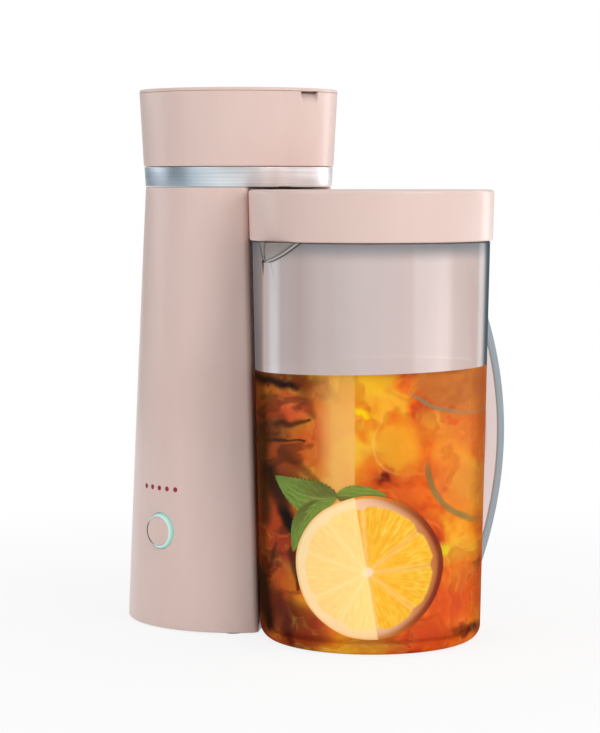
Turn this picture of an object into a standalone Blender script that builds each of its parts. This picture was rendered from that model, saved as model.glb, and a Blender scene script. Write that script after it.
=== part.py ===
"""Iced tea maker: a brewing tower with a hinged top lid, and a clear pitcher docked beside it.

The tower stands on +Z with its controls towards -Y. The pitcher stands on the +X side, in a
hollow of the tower's wall, and slides out along +X. All sizes are in metres.
"""
import math

import bmesh
import bpy
from mathutils import Matrix
from mathutils import Vector

# Sizes shared by the whole part
GAP = 0.0003
OVERRUN = 0.004
EDGE_BREAK = 0.0006
WELD_DISTANCE = 0.00001

# Round shapes: how many steps a full turn takes
BIG_TURN_STEPS = 54
MID_TURN_STEPS = 30
SMALL_TURN_STEPS = 16
TINY_TURN_STEPS = 10
ARC_STEPS = 3

# Tower body
TOWER_HEIGHT = 0.320
HEAD_REACH = 0.058
FOOT_LIFT = 0.001
BODY_BOTTOM_RADIUS = 0.068
WAIST_RADIUS = 0.0562
BODY_SWELL = 0.0003
BODY_WALL = 0.0025
BODY_LEVELS = 4
BODY_ARC_STEPS = 38
DOCK_ARC_STEPS = 12
DOCK_CORNER = 0.0040
DOCK_OVERLAP = 0.0211
DOCK_GAP_BOTTOM = 0.0012
DOCK_GAP_TOP = 0.0022
INNER_CORNER = 0.0006

# Steel band and head
BAND_HEIGHT = 0.0119
BAND_STEP = 0.0002
BAND_FLARE = 0.0006
BAND_THICKNESS = 0.0023
HEAD_STEP = 0.0004
HEAD_FLARE = 0.0024
HEAD_WALL = 0.0030
HEAD_FLOOR = 0.0027
NECK_WALL = 0.0026
TOP_LID_THICKNESS = 0.0025
LID_SKIRT_DEPTH = 0.0025
LID_SKIRT_WALL = 0.0022
NOTCH_WIDTH = 0.0128
NOTCH_DEPTH = 0.0050
NOTCH_REACH = 0.0019

# Hinge at the back of the head, away from the pitcher
HINGE_PIN_RADIUS = 0.0013
HINGE_KNUCKLE_RADIUS = 0.0032
HINGE_EAR_RADIUS = 0.0034
HINGE_STANDOFF = 0.0035
HINGE_DROP = 0.0036
HINGE_KNUCKLE_WIDTH = 0.0154
HINGE_EAR_WIDTH = 0.0040
HINGE_EAR_HEIGHT = 0.0135
HINGE_ARM_THICKNESS = 0.0022

# Pitcher jug
JUG_BOTTOM_RADIUS = 0.0641
JUG_TOP_RADIUS = 0.0687
LID_TOP_DROP = 0.0014
JUG_WALL = 0.0024
JUG_FLOOR = 0.0035
JUG_HEEL = 0.0080
JUG_KICK_DEPTH = 0.0012
JUG_FOOT_WIDTH = 0.0070
JUG_TURN_STEPS = 42
SPOUT_TURN = math.radians(-101.5)
SPOUT_HALF_ANGLE = math.radians(16.0)
SPOUT_TIP_RADIUS = 0.0770
SPOUT_DEPTH = 0.0160
SPOUT_STEPS = 4
LIP_SHARES = (0.3, 0.65, 1.0)

# Pitcher handle, a bowed strap opposite the spout
HANDLE_REACH = 0.0975
HANDLE_MID_SHARE = 0.4976
HANDLE_SPAN_SHARE = 0.5055
HANDLE_THICKNESS = 0.0055
HANDLE_WIDTH = 0.018
HANDLE_EDGE = 0.0012
HANDLE_STEPS = 18

# Pitcher lid: a cap with a plug ring that turns in the jug's mouth
LID_HEIGHT = 0.0295
LID_OVERHANG = 0.00155
LID_FLARE = 0.0007
LID_CORNER = 0.0022
LID_WALL = 0.0024
LID_TOP_THICKNESS = 0.0030
PLUG_CLEARANCE = 0.0014
PLUG_SKIRT_WALL = 0.0017
PLUG_DEPTH = 0.0086
PLUG_FLANGE_THICKNESS = 0.0020
GASKET_HEIGHT = 0.0015
GASKET_WIDTH = 0.0019
POUR_SLOT_WIDTH = 0.0035
POUR_SLOT_COUNT = 6
POUR_SLOT_STEP = math.radians(6.5)
POUR_WINDOW_WIDTH = 0.024
POUR_SLOT_EDGE = 0.0016
INLET_RADIUS = 0.0041

# Brew basket and filter
BASKET_RADIUS = 0.0325
BASKET_FLARE = 0.0008
BASKET_WALL = 0.0014
BASKET_FLOOR = 0.0020
BASKET_CLEARANCE = 0.0031
BASKET_LIP = 0.0019
BASKET_LIP_THICKNESS = 0.0016
DRIP_BORE_RADIUS = 0.0033
DRIP_WALL = 0.0012
DRIP_CLEARANCE = 0.0005
FILTER_WALL = 0.0010
FILTER_CLEARANCE = 0.0006
FILTER_FLOOR_LIFT = 0.0040
FILTER_SLOT_WIDTH = 0.0030
FILTER_SLOT_PAIRS = 6
FILTER_BORDER = 0.0070

# Shower plate under the top lid
SHOWER_RADIUS = 0.026
SHOWER_INLET_RADIUS = 0.008
SHOWER_DEPTH = 0.0048
SHOWER_FLOOR = 0.0016
SHOWER_WALL = 0.0016
SHOWER_HOLE_RADIUS = 0.0016
SHOWER_HOLE_RING_RADIUS = 0.014
SHOWER_HOLE_COUNT = 6

# Water tank and the plate that it stands on
TANK_TOP_DROP = 0.004
TANK_WALL = 0.0020
TANK_CLEARANCE = 0.0006
TANK_CORNER = 0.0040
TANK_LEVELS = 3
CRADLE_THICKNESS = 0.0032
CRADLE_CLEARANCE = 0.0052
CRADLE_LEG_RADIUS = 0.0050
CRADLE_LEG_FOOT_GAP = 0.0037
CRADLE_LEG_REAR_TURN = math.radians(136.5)
CRADLE_LEG_CLEARANCE = 0.0009
OUTLET_X = 0.010
OUTLET_Y = -0.024
OUTLET_HOLE_RADIUS = 0.0060
GROMMET_WALL = 0.0024
GROMMET_FLANGE = 0.0009
GROMMET_RISE = 0.0015
VALVE_RADIUS = 0.0060
VALVE_LENGTH = 0.020

# Heater and the pipes
HEATER_X = -0.014
HEATER_RADIUS = 0.027
HEATER_BAR_WIDTH = 0.014
HEATER_HEIGHT = 0.016
HEATER_LEG_LENGTH = 0.020
HEATER_LIFT = 0.024
HEATER_EDGE = 0.0015
HEATER_POST_RADIUS = 0.0040
THERMOSTAT_RADIUS = 0.0062
THERMOSTAT_HEIGHT = 0.0058
FUSE_RADIUS = 0.0020
FUSE_LENGTH = 0.016
RISER_RADIUS = 0.0036
RISER_BORE_RADIUS = 0.0022
RISER_X = -0.002
RISER_Y = 0.0444
RISER_BEND_RADIUS = 0.009
RISER_TANK_CLEARANCE = 0.0013
HOSE_RADIUS = 0.0040
HOSE_BORE_RADIUS = 0.0028
HOSE_BEND_RADIUS = 0.010
NOZZLE_LENGTH = 0.015
NOZZLE_WALL = 0.0017
NOZZLE_SEAT = 0.0045
NOZZLE_DROP = 0.0010

# Base plate, feet and screws
BASE_THICKNESS = 0.0040
FOOT_RADIUS = 0.0065
FOOT_INSET = 0.0105
FOOT_POCKET_DEPTH = 0.0020
FOOT_TURNS = [math.radians(51.0), math.radians(103.0), math.radians(180.0),
              math.radians(-103.0), math.radians(-51.0)]
SCREW_RADIUS = 0.0014
SCREW_HEAD_RADIUS = 0.0029
SCREW_HEAD_HEIGHT = 0.0017
SCREW_LENGTH = 0.014
SCREW_DRIVE_WIDTH = 0.0008
SCREW_DRIVE_DEPTH = 0.0007

# Controls on the front of the tower
CONTROL_X = -0.0040
BUTTON_HEIGHT = 0.0585
RING_RADIUS = 0.0106
RING_WIDTH = 0.0018
RING_TIP_WIDTH = 0.0003
RING_RISE = 0.0020
RING_FLANGE = 0.0016
RING_FLANGE_THICKNESS = 0.0015
RING_SETBACK = 0.0045
BUTTON_THICKNESS = 0.0045
BUTTON_STEM_RADIUS = 0.0025
BUTTON_TRAVEL = 0.0012
LED_RISE = 0.0148
LED_SHIFT = -0.0016
LED_SPACING = 0.0065
LED_RADIUS = 0.00115
LED_COUNT = 5
BOARD_WIDTH = 0.044
BOARD_MARGIN = 0.0124
BOARD_THICKNESS = 0.0016
BOARD_SETBACK = 0.0153
BOARD_RAIL_WIDTH = 0.006
BOARD_RAIL_DEPTH = 0.008
BOARD_RAIL_HEIGHT = 0.035
BOARD_RAIL_GRIP = 0.003
SWITCH_WIDTH = 0.0062
SWITCH_DEPTH = 0.0042

# Cord gland at the back, with an open bore
GLAND_HEIGHT = 0.018
GLAND_RADIUS = 0.0060
GLAND_BORE_RADIUS = 0.0036
GLAND_FLANGE = 0.0022
GLAND_FLANGE_THICKNESS = 0.0025
GLAND_LENGTH = 0.011
GLAND_SEAT = 0.0007

# Colours, as linear values
BLUSH = (0.807, 0.597, 0.527)
BLUSH_DEEP = (0.76, 0.55, 0.48)
STEEL = (0.62, 0.66, 0.69)
ALUMINIUM = (0.60, 0.61, 0.62)
CLEAR_GREY = (0.62, 0.68, 0.71)
MILK = (0.82, 0.82, 0.80)
MINT_LIGHT = (0.45, 0.87, 0.80)
LED_RED = (0.35, 0.01, 0.04)
RUBBER = (0.03, 0.03, 0.03)
SILICONE = (0.70, 0.72, 0.72)
BOARD_GREEN = (0.02, 0.16, 0.07)

# Radii that follow from the sizes above
BAND_BOTTOM_RADIUS = WAIST_RADIUS + BAND_STEP
BAND_TOP_RADIUS = BAND_BOTTOM_RADIUS + BAND_FLARE
HEAD_BOTTOM_RADIUS = BAND_TOP_RADIUS + HEAD_STEP
HEAD_TOP_RADIUS = HEAD_BOTTOM_RADIUS + HEAD_FLARE
FOOT_RING_RADIUS = BODY_BOTTOM_RADIUS - FOOT_INSET
LID_BOTTOM_RADIUS = JUG_TOP_RADIUS + LID_OVERHANG
LID_TOP_RADIUS = LID_BOTTOM_RADIUS + LID_FLARE
PLUG_SKIRT_RADIUS = JUG_TOP_RADIUS - JUG_WALL - PLUG_CLEARANCE
AXIS_SPACING = WAIST_RADIUS + JUG_TOP_RADIUS - DOCK_OVERLAP

# Heights that follow from the sizes above
WAIST_HEIGHT = TOWER_HEIGHT - HEAD_REACH
BAND_LOW = WAIST_HEIGHT + GAP
BAND_HIGH = BAND_LOW + BAND_HEIGHT - GAP
HEAD_LOW = BAND_HIGH + GAP
TOP_LID_LOW = TOWER_HEIGHT - TOP_LID_THICKNESS
HEAD_HIGH = TOP_LID_LOW - GAP
HEAD_FLOOR_TOP = BAND_LOW + HEAD_FLOOR
NECK_RADIUS = BAND_BOTTOM_RADIUS - BAND_THICKNESS - GAP
NECK_INNER_RADIUS = NECK_RADIUS - NECK_WALL
JUG_HEIGHT = WAIST_HEIGHT - LID_TOP_DROP - LID_HEIGHT
LID_LOW = JUG_HEIGHT + GAP
LID_HIGH = LID_LOW + LID_HEIGHT - GAP
BASE_TOP = FOOT_LIFT + BASE_THICKNESS
LED_HEIGHT = BUTTON_HEIGHT + RING_RADIUS + LED_RISE
BOARD_LOW = BASE_TOP + BOARD_RAIL_GRIP + GAP
BOARD_TOP = LED_HEIGHT + BOARD_MARGIN
CRADLE_LOW = BOARD_TOP + CRADLE_CLEARANCE
CRADLE_TOP = CRADLE_LOW + CRADLE_THICKNESS
TANK_FLOOR_HEIGHT = CRADLE_TOP + GAP
HEATER_TOP = HEATER_LIFT + HEATER_HEIGHT
HEATER_MID = HEATER_LIFT + HEATER_HEIGHT / 2
TANK_TOP = WAIST_HEIGHT - TANK_TOP_DROP
SHOWER_LOW = TOP_LID_LOW - GAP - SHOWER_DEPTH
NOZZLE_TOP = SHOWER_LOW - NOZZLE_DROP
BASKET_LOW = HEAD_FLOOR_TOP + GAP
BASKET_HIGH = SHOWER_LOW - BASKET_CLEARANCE

# Places that follow from the sizes above
PLUG_INNER_RADIUS = PLUG_SKIRT_RADIUS - PLUG_SKIRT_WALL
DRIP_X = AXIS_SPACING - (PLUG_INNER_RADIUS - INLET_RADIUS - GAP)
BASKET_X = DRIP_X - (BASKET_RADIUS - BASKET_WALL - DRIP_BORE_RADIUS)
HINGE_X = -(HEAD_TOP_RADIUS + HINGE_STANDOFF)
HINGE_Z = TOWER_HEIGHT - HINGE_DROP
HANDLE_TURN = SPOUT_TURN + math.pi
HANDLE_MID_HEIGHT = JUG_HEIGHT * HANDLE_MID_SHARE
HANDLE_SPAN = JUG_HEIGHT * HANDLE_SPAN_SHARE
HANDLE_BOW = HANDLE_SPAN ** 2 / (HANDLE_REACH + HANDLE_THICKNESS - JUG_BOTTOM_RADIUS)

# The part's origin is the middle of its outline on the table
REACH_LEFT = max(BODY_BOTTOM_RADIUS, HINGE_EAR_RADIUS - HINGE_X)
REACH_RIGHT = AXIS_SPACING + LID_TOP_RADIUS
REACH_FRONT = -SPOUT_TIP_RADIUS * math.sin(SPOUT_TURN)
REACH_BACK = HANDLE_REACH * math.sin(HANDLE_TURN) + (HANDLE_WIDTH / 2 - HANDLE_EDGE) * math.cos(HANDLE_TURN)
TOWER_X = (REACH_LEFT - REACH_RIGHT) / 2
TOWER_Y = (REACH_FRONT - REACH_BACK) / 2


def clear_scene():
    for old in list(bpy.data.objects):
        bpy.data.objects.remove(old, do_unlink=True)


def new_collection(name):
    collection = bpy.data.collections.new(name)
    bpy.context.scene.collection.children.link(collection)
    return collection


clear_scene()
PARTS = new_collection("iced_tea_maker")
CUTTERS = new_collection("iced_tea_maker_cutters")


def empty(name, place, parent=None):
    """An axis or a centre that pieces hang from."""
    marker = bpy.data.objects.new(name, None)
    marker.location = place
    marker.parent = parent
    PARTS.objects.link(marker)
    return marker


def add_mesh(name, mesh, parent, place=(0, 0, 0)):
    piece = bpy.data.objects.new(name, mesh)
    piece.parent = parent
    piece.location = place
    PARTS.objects.link(piece)
    return piece


def as_cutter(piece):
    """Moves a shape to the cutters, where it only shapes other pieces."""
    PARTS.objects.unlink(piece)
    CUTTERS.objects.link(piece)
    piece.hide_render = True
    piece.display_type = "WIRE"
    return piece


def boolean(piece, other, operation):
    modifier = piece.modifiers.new(operation.lower(), "BOOLEAN")
    modifier.operation = operation
    modifier.solver = "EXACT"
    modifier.object = other
    return piece


def cut(piece, cutter):
    return boolean(piece, as_cutter(cutter), "DIFFERENCE")


def join(piece, other):
    return boolean(piece, as_cutter(other), "UNION")


def bevel(piece, width, segments=2):
    modifier = piece.modifiers.new("rounded_edges", "BEVEL")
    modifier.width = width
    modifier.segments = segments
    modifier.limit_method = "ANGLE"
    modifier.angle_limit = math.radians(40.0)
    return piece


def finish(piece, colour, roughness, metallic=0.0, alpha=1.0):
    """Gives a piece its own material."""
    material = bpy.data.materials.new(piece.name + "_finish")
    material.use_nodes = True
    shader = material.node_tree.nodes["Principled BSDF"]
    shader.inputs["Base Color"].default_value = (*colour, 1.0)
    shader.inputs["Roughness"].default_value = roughness
    shader.inputs["Metallic"].default_value = metallic
    shader.inputs["Alpha"].default_value = alpha
    material.diffuse_color = (*colour, alpha)
    piece.data.materials.clear()
    piece.data.materials.append(material)
    return piece


def smooth(piece):
    piece.data.shade_smooth()
    piece.data.set_sharp_from_angle(angle=math.radians(35.0))
    return piece


def turned(name, profile, parent, place=(0, 0, 0), steps=BIG_TURN_STEPS, ring=False):
    """A profile of (radius, height) points turned about Z, its outer side running downwards.

    A ring's profile closes on itself; any other starts and ends on the axis.
    """
    count = len(profile)
    edges = [(i, i + 1) for i in range(count - 1)]
    if ring:
        edges.append((count - 1, 0))
    mesh = bpy.data.meshes.new(name)
    mesh.from_pydata([(radius, 0, height) for radius, height in profile], edges, [])
    piece = add_mesh(name, mesh, parent, place)
    screw = piece.modifiers.new("turn", "SCREW")
    screw.axis = "Z"
    screw.angle = math.tau
    screw.steps = steps
    screw.render_steps = steps
    screw.use_merge_vertices = True
    screw.merge_threshold = WELD_DISTANCE
    screw.use_smooth_shade = True
    return piece


def from_bmesh(name, shape, parent, place=(0, 0, 0)):
    mesh = bpy.data.meshes.new(name)
    shape.to_mesh(mesh)
    shape.free()
    return add_mesh(name, mesh, parent, place)


def turn_to(axis):
    """The rotation that lays a shape built along Z on the named axis."""
    if axis == "X":
        return Matrix.Rotation(math.radians(90.0), 4, "Y")
    if axis == "Y":
        return Matrix.Rotation(math.radians(-90.0), 4, "X")
    return Matrix.Identity(4)


def cylinder(name, radius, low, high, parent, place=(0, 0, 0), axis="Z", steps=SMALL_TURN_STEPS):
    """A cylinder from low to high along an axis, measured from its place."""
    shape = bmesh.new()
    middle = Matrix.Translation((0, 0, (low + high) / 2))
    bmesh.ops.create_cone(shape, cap_ends=True, segments=steps, radius1=radius, radius2=radius,
                          depth=high - low, matrix=turn_to(axis) @ middle)
    return smooth(from_bmesh(name, shape, parent, place))


def box(name, low, high, parent, place=(0, 0, 0)):
    """A box between two corners, measured from its place."""
    shape = bmesh.new()
    middle = [(a + b) / 2 for a, b in zip(low, high)]
    size = [b - a for a, b in zip(low, high)]
    matrix = Matrix.Translation(middle) @ Matrix.Diagonal((*size, 1.0))
    bmesh.ops.create_cube(shape, size=1.0, matrix=matrix)
    return from_bmesh(name, shape, parent, place)


def curve_to_mesh(curve_object, parent):
    """The evaluated curve as a mesh object with welded caps."""
    bpy.context.view_layer.update()
    graph = bpy.context.evaluated_depsgraph_get()
    mesh = bpy.data.meshes.new_from_object(curve_object.evaluated_get(graph))
    name = curve_object.name
    place = curve_object.location.copy()
    bpy.data.objects.remove(curve_object, do_unlink=True)
    shape = bmesh.new()
    shape.from_mesh(mesh)
    bmesh.ops.remove_doubles(shape, verts=shape.verts, dist=WELD_DISTANCE)
    bmesh.ops.recalc_face_normals(shape, faces=shape.faces)
    shape.to_mesh(mesh)
    shape.free()
    mesh.name = name
    return add_mesh(name, mesh, parent, place)


def poly_curve(name, points, dimensions, cyclic):
    curve = bpy.data.curves.new(name, "CURVE")
    curve.dimensions = dimensions
    spline = curve.splines.new("POLY")
    spline.points.add(len(points) - 1)
    for target, point in zip(spline.points, points):
        target.co = (*point, 1.0)
    spline.use_cyclic_u = cyclic
    return curve


def plate(name, outline, low, high, parent):
    """A flat outline of (x, y) points with thickness from low to high along Z."""
    curve = poly_curve(name, [(x, y, 0) for x, y in outline], "2D", True)
    curve.fill_mode = "BOTH"
    curve.extrude = (high - low) / 2
    holder = bpy.data.objects.new(name, curve)
    holder.location = (0, 0, (low + high) / 2)
    PARTS.objects.link(holder)
    return curve_to_mesh(holder, parent)


def standing_plate(name, outline, width, parent):
    """A flat outline of (reach, height) points, upright in the XZ plane and centred on it."""
    piece = plate(name, outline, -width / 2, width / 2, parent)
    piece.data.transform(Matrix.Rotation(math.radians(90.0), 4, "X"))
    return piece


def elbow(start, radius, steps=5):
    """A quarter turn from heading along +X to heading upwards."""
    return [Vector((start[0] + radius * math.sin(math.pi / 2 * i / steps), start[1],
                    start[2] + radius * (1 - math.cos(math.pi / 2 * i / steps))))
            for i in range(steps + 1)]


def swerve(start, end, steps=8):
    """A climb from start to end that leaves and arrives upright; the start is left out."""
    route = []
    for i in range(1, steps + 1):
        share = i / steps
        ease = share * share * (3 - 2 * share)
        route.append(Vector((start[0] + (end[0] - start[0]) * ease,
                             start[1] + (end[1] - start[1]) * ease,
                             start[2] + (end[2] - start[2]) * share)))
    return route


def rod(name, route, radius, parent):
    """A round rod along a route, with closed ends."""
    curve = poly_curve(name, [tuple(point) for point in route], "3D", False)
    curve.bevel_depth = radius
    curve.bevel_resolution = 2
    curve.use_fill_caps = True
    holder = bpy.data.objects.new(name, curve)
    PARTS.objects.link(holder)
    return curve_to_mesh(holder, parent)


def pipe(name, route, radius, bore, parent):
    """A rod with a bore along the same route, open at both ends."""
    piece = rod(name, route, radius, parent)
    start = route[0] + (route[0] - route[1]).normalized() * OVERRUN
    end = route[-1] + (route[-1] - route[-2]).normalized() * OVERRUN
    return smooth(cut(piece, rod(name + "_bore", [start] + route + [end], bore, parent)))


def loft(name, rings, parent, wrap=False):
    """A closed skin over rings of equal count, each running anticlockwise seen from above.

    The skin goes up the outside and down the inside. With wrap it returns to the first ring,
    and otherwise the first and last rings are filled.
    """
    count = len(rings[0])
    points = [point for ring in rings for point in ring]
    faces = []
    for level in range(len(rings) if wrap else len(rings) - 1):
        low = level * count
        high = (level + 1) % len(rings) * count
        for i in range(count):
            j = (i + 1) % count
            faces.append((low + i, low + j, high + j, high + i))
    if not wrap:
        last = (len(rings) - 1) * count
        faces.append(tuple(range(count - 1, -1, -1)))
        faces.append(tuple(range(last, last + count)))
    mesh = bpy.data.meshes.new(name)
    mesh.from_pydata(points, [], faces)
    return smooth(add_mesh(name, mesh, parent))


def arc(centre, radius, start, end, steps):
    """Points on a circle from one angle to another, both ends included."""
    return [(centre[0] + radius * math.cos(start + (end - start) * i / steps),
             centre[1] + radius * math.sin(start + (end - start) * i / steps))
            for i in range(steps + 1)]


def crescent(centre, radius, dock, corner):
    """A disc about centre with a round bite of radius dock about the pitcher's axis.

    Both tips are rounded to corner. The points run anticlockwise, and their number is fixed.
    """
    span = math.hypot(AXIS_SPACING - centre[0], centre[1])
    swing = math.atan2(-centre[1], AXIS_SPACING - centre[0])
    tip_x = ((radius - corner) ** 2 - (dock + corner) ** 2 + span ** 2) / (2 * span)
    tip_y = math.sqrt(max((radius - corner) ** 2 - tip_x ** 2, 0))
    open_angle = math.atan2(tip_y, tip_x)
    bite_angle = math.atan2(tip_y, span - tip_x)
    body = arc((0, 0), radius, open_angle, math.tau - open_angle, BODY_ARC_STEPS)
    lower_tip = arc((tip_x, -tip_y), corner, -open_angle, bite_angle, ARC_STEPS)
    bite = arc((span, 0), dock, math.pi + bite_angle, math.pi - bite_angle, DOCK_ARC_STEPS)
    upper_tip = arc((tip_x, tip_y), corner, -bite_angle, open_angle, ARC_STEPS)
    outline = body[:-1] + lower_tip[:-1] + bite[:-1] + upper_tip[:-1]
    turn_cos = math.cos(swing)
    turn_sin = math.sin(swing)
    return [(centre[0] + x * turn_cos - y * turn_sin, centre[1] + x * turn_sin + y * turn_cos)
            for x, y in outline]


def at_height(outline, height):
    return [(x, y, height) for x, y in outline]


def spaced(low, high, count):
    return [low + (high - low) * i / (count - 1) for i in range(count)]


def body_radius(height):
    """The tower's outer radius: an even flare with a slight swell at half height."""
    share = height / WAIST_HEIGHT
    flare = BODY_BOTTOM_RADIUS + (WAIST_RADIUS - BODY_BOTTOM_RADIUS) * share
    return flare + BODY_SWELL * 4 * share * (1 - share)


def dock_radius(height):
    """The radius, about the pitcher's axis, of the hollow that the pitcher stands in."""
    share = height / WAIST_HEIGHT
    low = JUG_BOTTOM_RADIUS + DOCK_GAP_BOTTOM
    high = LID_TOP_RADIUS + DOCK_GAP_TOP
    return low + (high - low) * share


def tower_outline(height, inset=0.0):
    corner = INNER_CORNER if inset else DOCK_CORNER
    return crescent((0, 0), body_radius(height) - inset, dock_radius(height) + inset, corner)


def front_depth(x, height, inset=0.0):
    """How far the tower's front face lies from its axis at a side offset."""
    radius = body_radius(height) - inset
    return math.sqrt(radius ** 2 - x ** 2)


def jug_radius(height):
    return JUG_BOTTOM_RADIUS + (JUG_TOP_RADIUS - JUG_BOTTOM_RADIUS) * height / JUG_HEIGHT


def tower_shell(tower):
    levels = spaced(FOOT_LIFT, WAIST_HEIGHT, BODY_LEVELS)
    outer = [at_height(tower_outline(z), z) for z in levels]
    inner = [at_height(tower_outline(z, BODY_WALL), z) for z in reversed(levels)]
    shell = loft("tower_shell", outer + inner, tower, wrap=True)
    deep = BODY_BOTTOM_RADIUS + OVERRUN
    shallow = WAIST_RADIUS / 2
    cut(shell, cylinder("button_hole", RING_RADIUS + GAP, -deep, -shallow, tower,
                        (CONTROL_X, 0, BUTTON_HEIGHT), "Y", MID_TURN_STEPS))
    for i in range(LED_COUNT):
        place = (led_offset(i), 0, LED_HEIGHT)
        cut(shell, cylinder("led_hole", LED_RADIUS + GAP, -deep, -shallow, tower, place, "Y",
                            TINY_TURN_STEPS))
    cut(shell, cylinder("gland_hole", GLAND_RADIUS + GAP, shallow, deep, tower,
                        (0, 0, GLAND_HEIGHT), "Y"))
    return finish(shell, BLUSH, 0.38)


def led_offset(index):
    return CONTROL_X + LED_SHIFT + (index - (LED_COUNT - 1) / 2) * LED_SPACING


def ring_places(turns, radius):
    return [(radius * math.cos(turn), radius * math.sin(turn)) for turn in turns]


def board_depth():
    """How far the middle of the control board lies in front of the tower's axis."""
    return body_radius(BUTTON_HEIGHT) - BOARD_SETBACK


def leg_places():
    """The cradle's legs: two just behind the line of the board, and two near the rear wall."""
    front_y = board_depth() - BOARD_RAIL_DEPTH / 2 - CRADLE_LEG_RADIUS - CRADLE_LEG_CLEARANCE
    front_x = FOOT_RING_RADIUS * math.cos(FOOT_TURNS[0]) - FOOT_RADIUS - CRADLE_LEG_FOOT_GAP
    wall = body_radius(CRADLE_TOP) - BODY_WALL
    ring = wall - CRADLE_LEG_RADIUS - CRADLE_LEG_CLEARANCE
    rear_x = ring * math.cos(CRADLE_LEG_REAR_TURN)
    rear_y = ring * math.sin(CRADLE_LEG_REAR_TURN)
    return [(front_x, front_y), (rear_x, rear_y), (rear_x, -rear_y), (front_x, -front_y)]


def base_plate(tower):
    """The floor of the tower, with foot pockets, heater posts and rails for the board."""
    inset = BODY_WALL + GAP
    base = loft("base_plate", [at_height(tower_outline(z, inset), z) for z in (FOOT_LIFT, BASE_TOP)],
                tower)
    for x, y in ring_places(FOOT_TURNS, FOOT_RING_RADIUS):
        cut(base, cylinder("foot_pocket", FOOT_RADIUS + GAP, FOOT_LIFT - OVERRUN,
                           FOOT_LIFT + FOOT_POCKET_DEPTH, tower, (x, y, 0)))
    for x, y in leg_places():
        cut(base, cylinder("screw_way", SCREW_RADIUS + GAP, FOOT_LIFT - OVERRUN, BASE_TOP + OVERRUN,
                           tower, (x, y, 0)))
        cut(base, cylinder("screw_head_way", SCREW_HEAD_RADIUS + GAP, FOOT_LIFT - OVERRUN,
                           FOOT_LIFT + SCREW_HEAD_HEIGHT + GAP, tower, (x, y, 0)))
    for x, y in heater_post_places():
        join(base, cylinder("heater_post", HEATER_POST_RADIUS, BASE_TOP - BASE_THICKNESS / 2,
                            HEATER_LIFT - GAP, tower, (x, y, 0)))
    for side in (-1, 1):
        x = CONTROL_X + side * BOARD_WIDTH / 2
        low = (-BOARD_RAIL_WIDTH / 2, -BOARD_RAIL_DEPTH / 2, BASE_TOP - BASE_THICKNESS / 2)
        high = (BOARD_RAIL_WIDTH / 2, BOARD_RAIL_DEPTH / 2, BASE_TOP + BOARD_RAIL_HEIGHT)
        join(base, box("board_rail", low, high, tower, (x, -board_depth(), 0)))
    slot_low = (-BOARD_WIDTH / 2 - GAP, -BOARD_THICKNESS / 2 - GAP, BASE_TOP + BOARD_RAIL_GRIP)
    slot_high = (BOARD_WIDTH / 2 + GAP, BOARD_THICKNESS / 2 + GAP, BOARD_TOP)
    cut(base, box("board_slot", slot_low, slot_high, tower, (CONTROL_X, -board_depth(), 0)))
    return finish(base, BLUSH_DEEP, 0.5)


def heater_post_places():
    return [(HEATER_X - HEATER_RADIUS, 0), (HEATER_X + HEATER_LEG_LENGTH / 2, HEATER_RADIUS),
            (HEATER_X + HEATER_LEG_LENGTH / 2, -HEATER_RADIUS)]


def feet(tower):
    for number, (x, y) in enumerate(ring_places(FOOT_TURNS, FOOT_RING_RADIUS), start=1):
        pad = cylinder("foot_%d" % number, FOOT_RADIUS, 0, FOOT_LIFT + FOOT_POCKET_DEPTH - GAP,
                       tower, (x, y, 0))
        finish(pad, RUBBER, 0.8)


def base_screws(tower):
    """Screws from under the base into the legs of the plate that holds the tank."""
    head_low = FOOT_LIFT
    head_high = head_low + SCREW_HEAD_HEIGHT
    tip = head_low + SCREW_LENGTH
    profile = [(0, tip), (SCREW_RADIUS / 2, tip), (SCREW_RADIUS, tip - SCREW_RADIUS),
               (SCREW_RADIUS, head_high), (SCREW_HEAD_RADIUS, head_high),
               (SCREW_HEAD_RADIUS, head_low), (0, head_low)]
    for number, (x, y) in enumerate(leg_places(), start=1):
        screw = turned("base_screw_%d" % number, profile, tower, (x, y, 0), TINY_TURN_STEPS)
        for half_x, half_y in ((SCREW_HEAD_RADIUS / 2, SCREW_DRIVE_WIDTH / 2),
                               (SCREW_DRIVE_WIDTH / 2, SCREW_HEAD_RADIUS / 2)):
            low = (-half_x, -half_y, head_low - OVERRUN)
            high = (half_x, half_y, head_low + SCREW_DRIVE_DEPTH)
            cut(screw, box("screw_drive", low, high, tower, (x, y, 0)))
        finish(screw, STEEL, 0.35, 1.0)


def steel_band(tower):
    inner = NECK_RADIUS + GAP
    profile = [(inner, BAND_HIGH), (BAND_TOP_RADIUS, BAND_HIGH), (BAND_BOTTOM_RADIUS, BAND_LOW),
               (inner, BAND_LOW)]
    return finish(turned("steel_band", profile, tower, ring=True), STEEL, 0.28, 1.0)


def head_radius(height):
    share = (height - HEAD_LOW) / (HEAD_HIGH - HEAD_LOW)
    return HEAD_BOTTOM_RADIUS + (HEAD_TOP_RADIUS - HEAD_BOTTOM_RADIUS) * share


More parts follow.
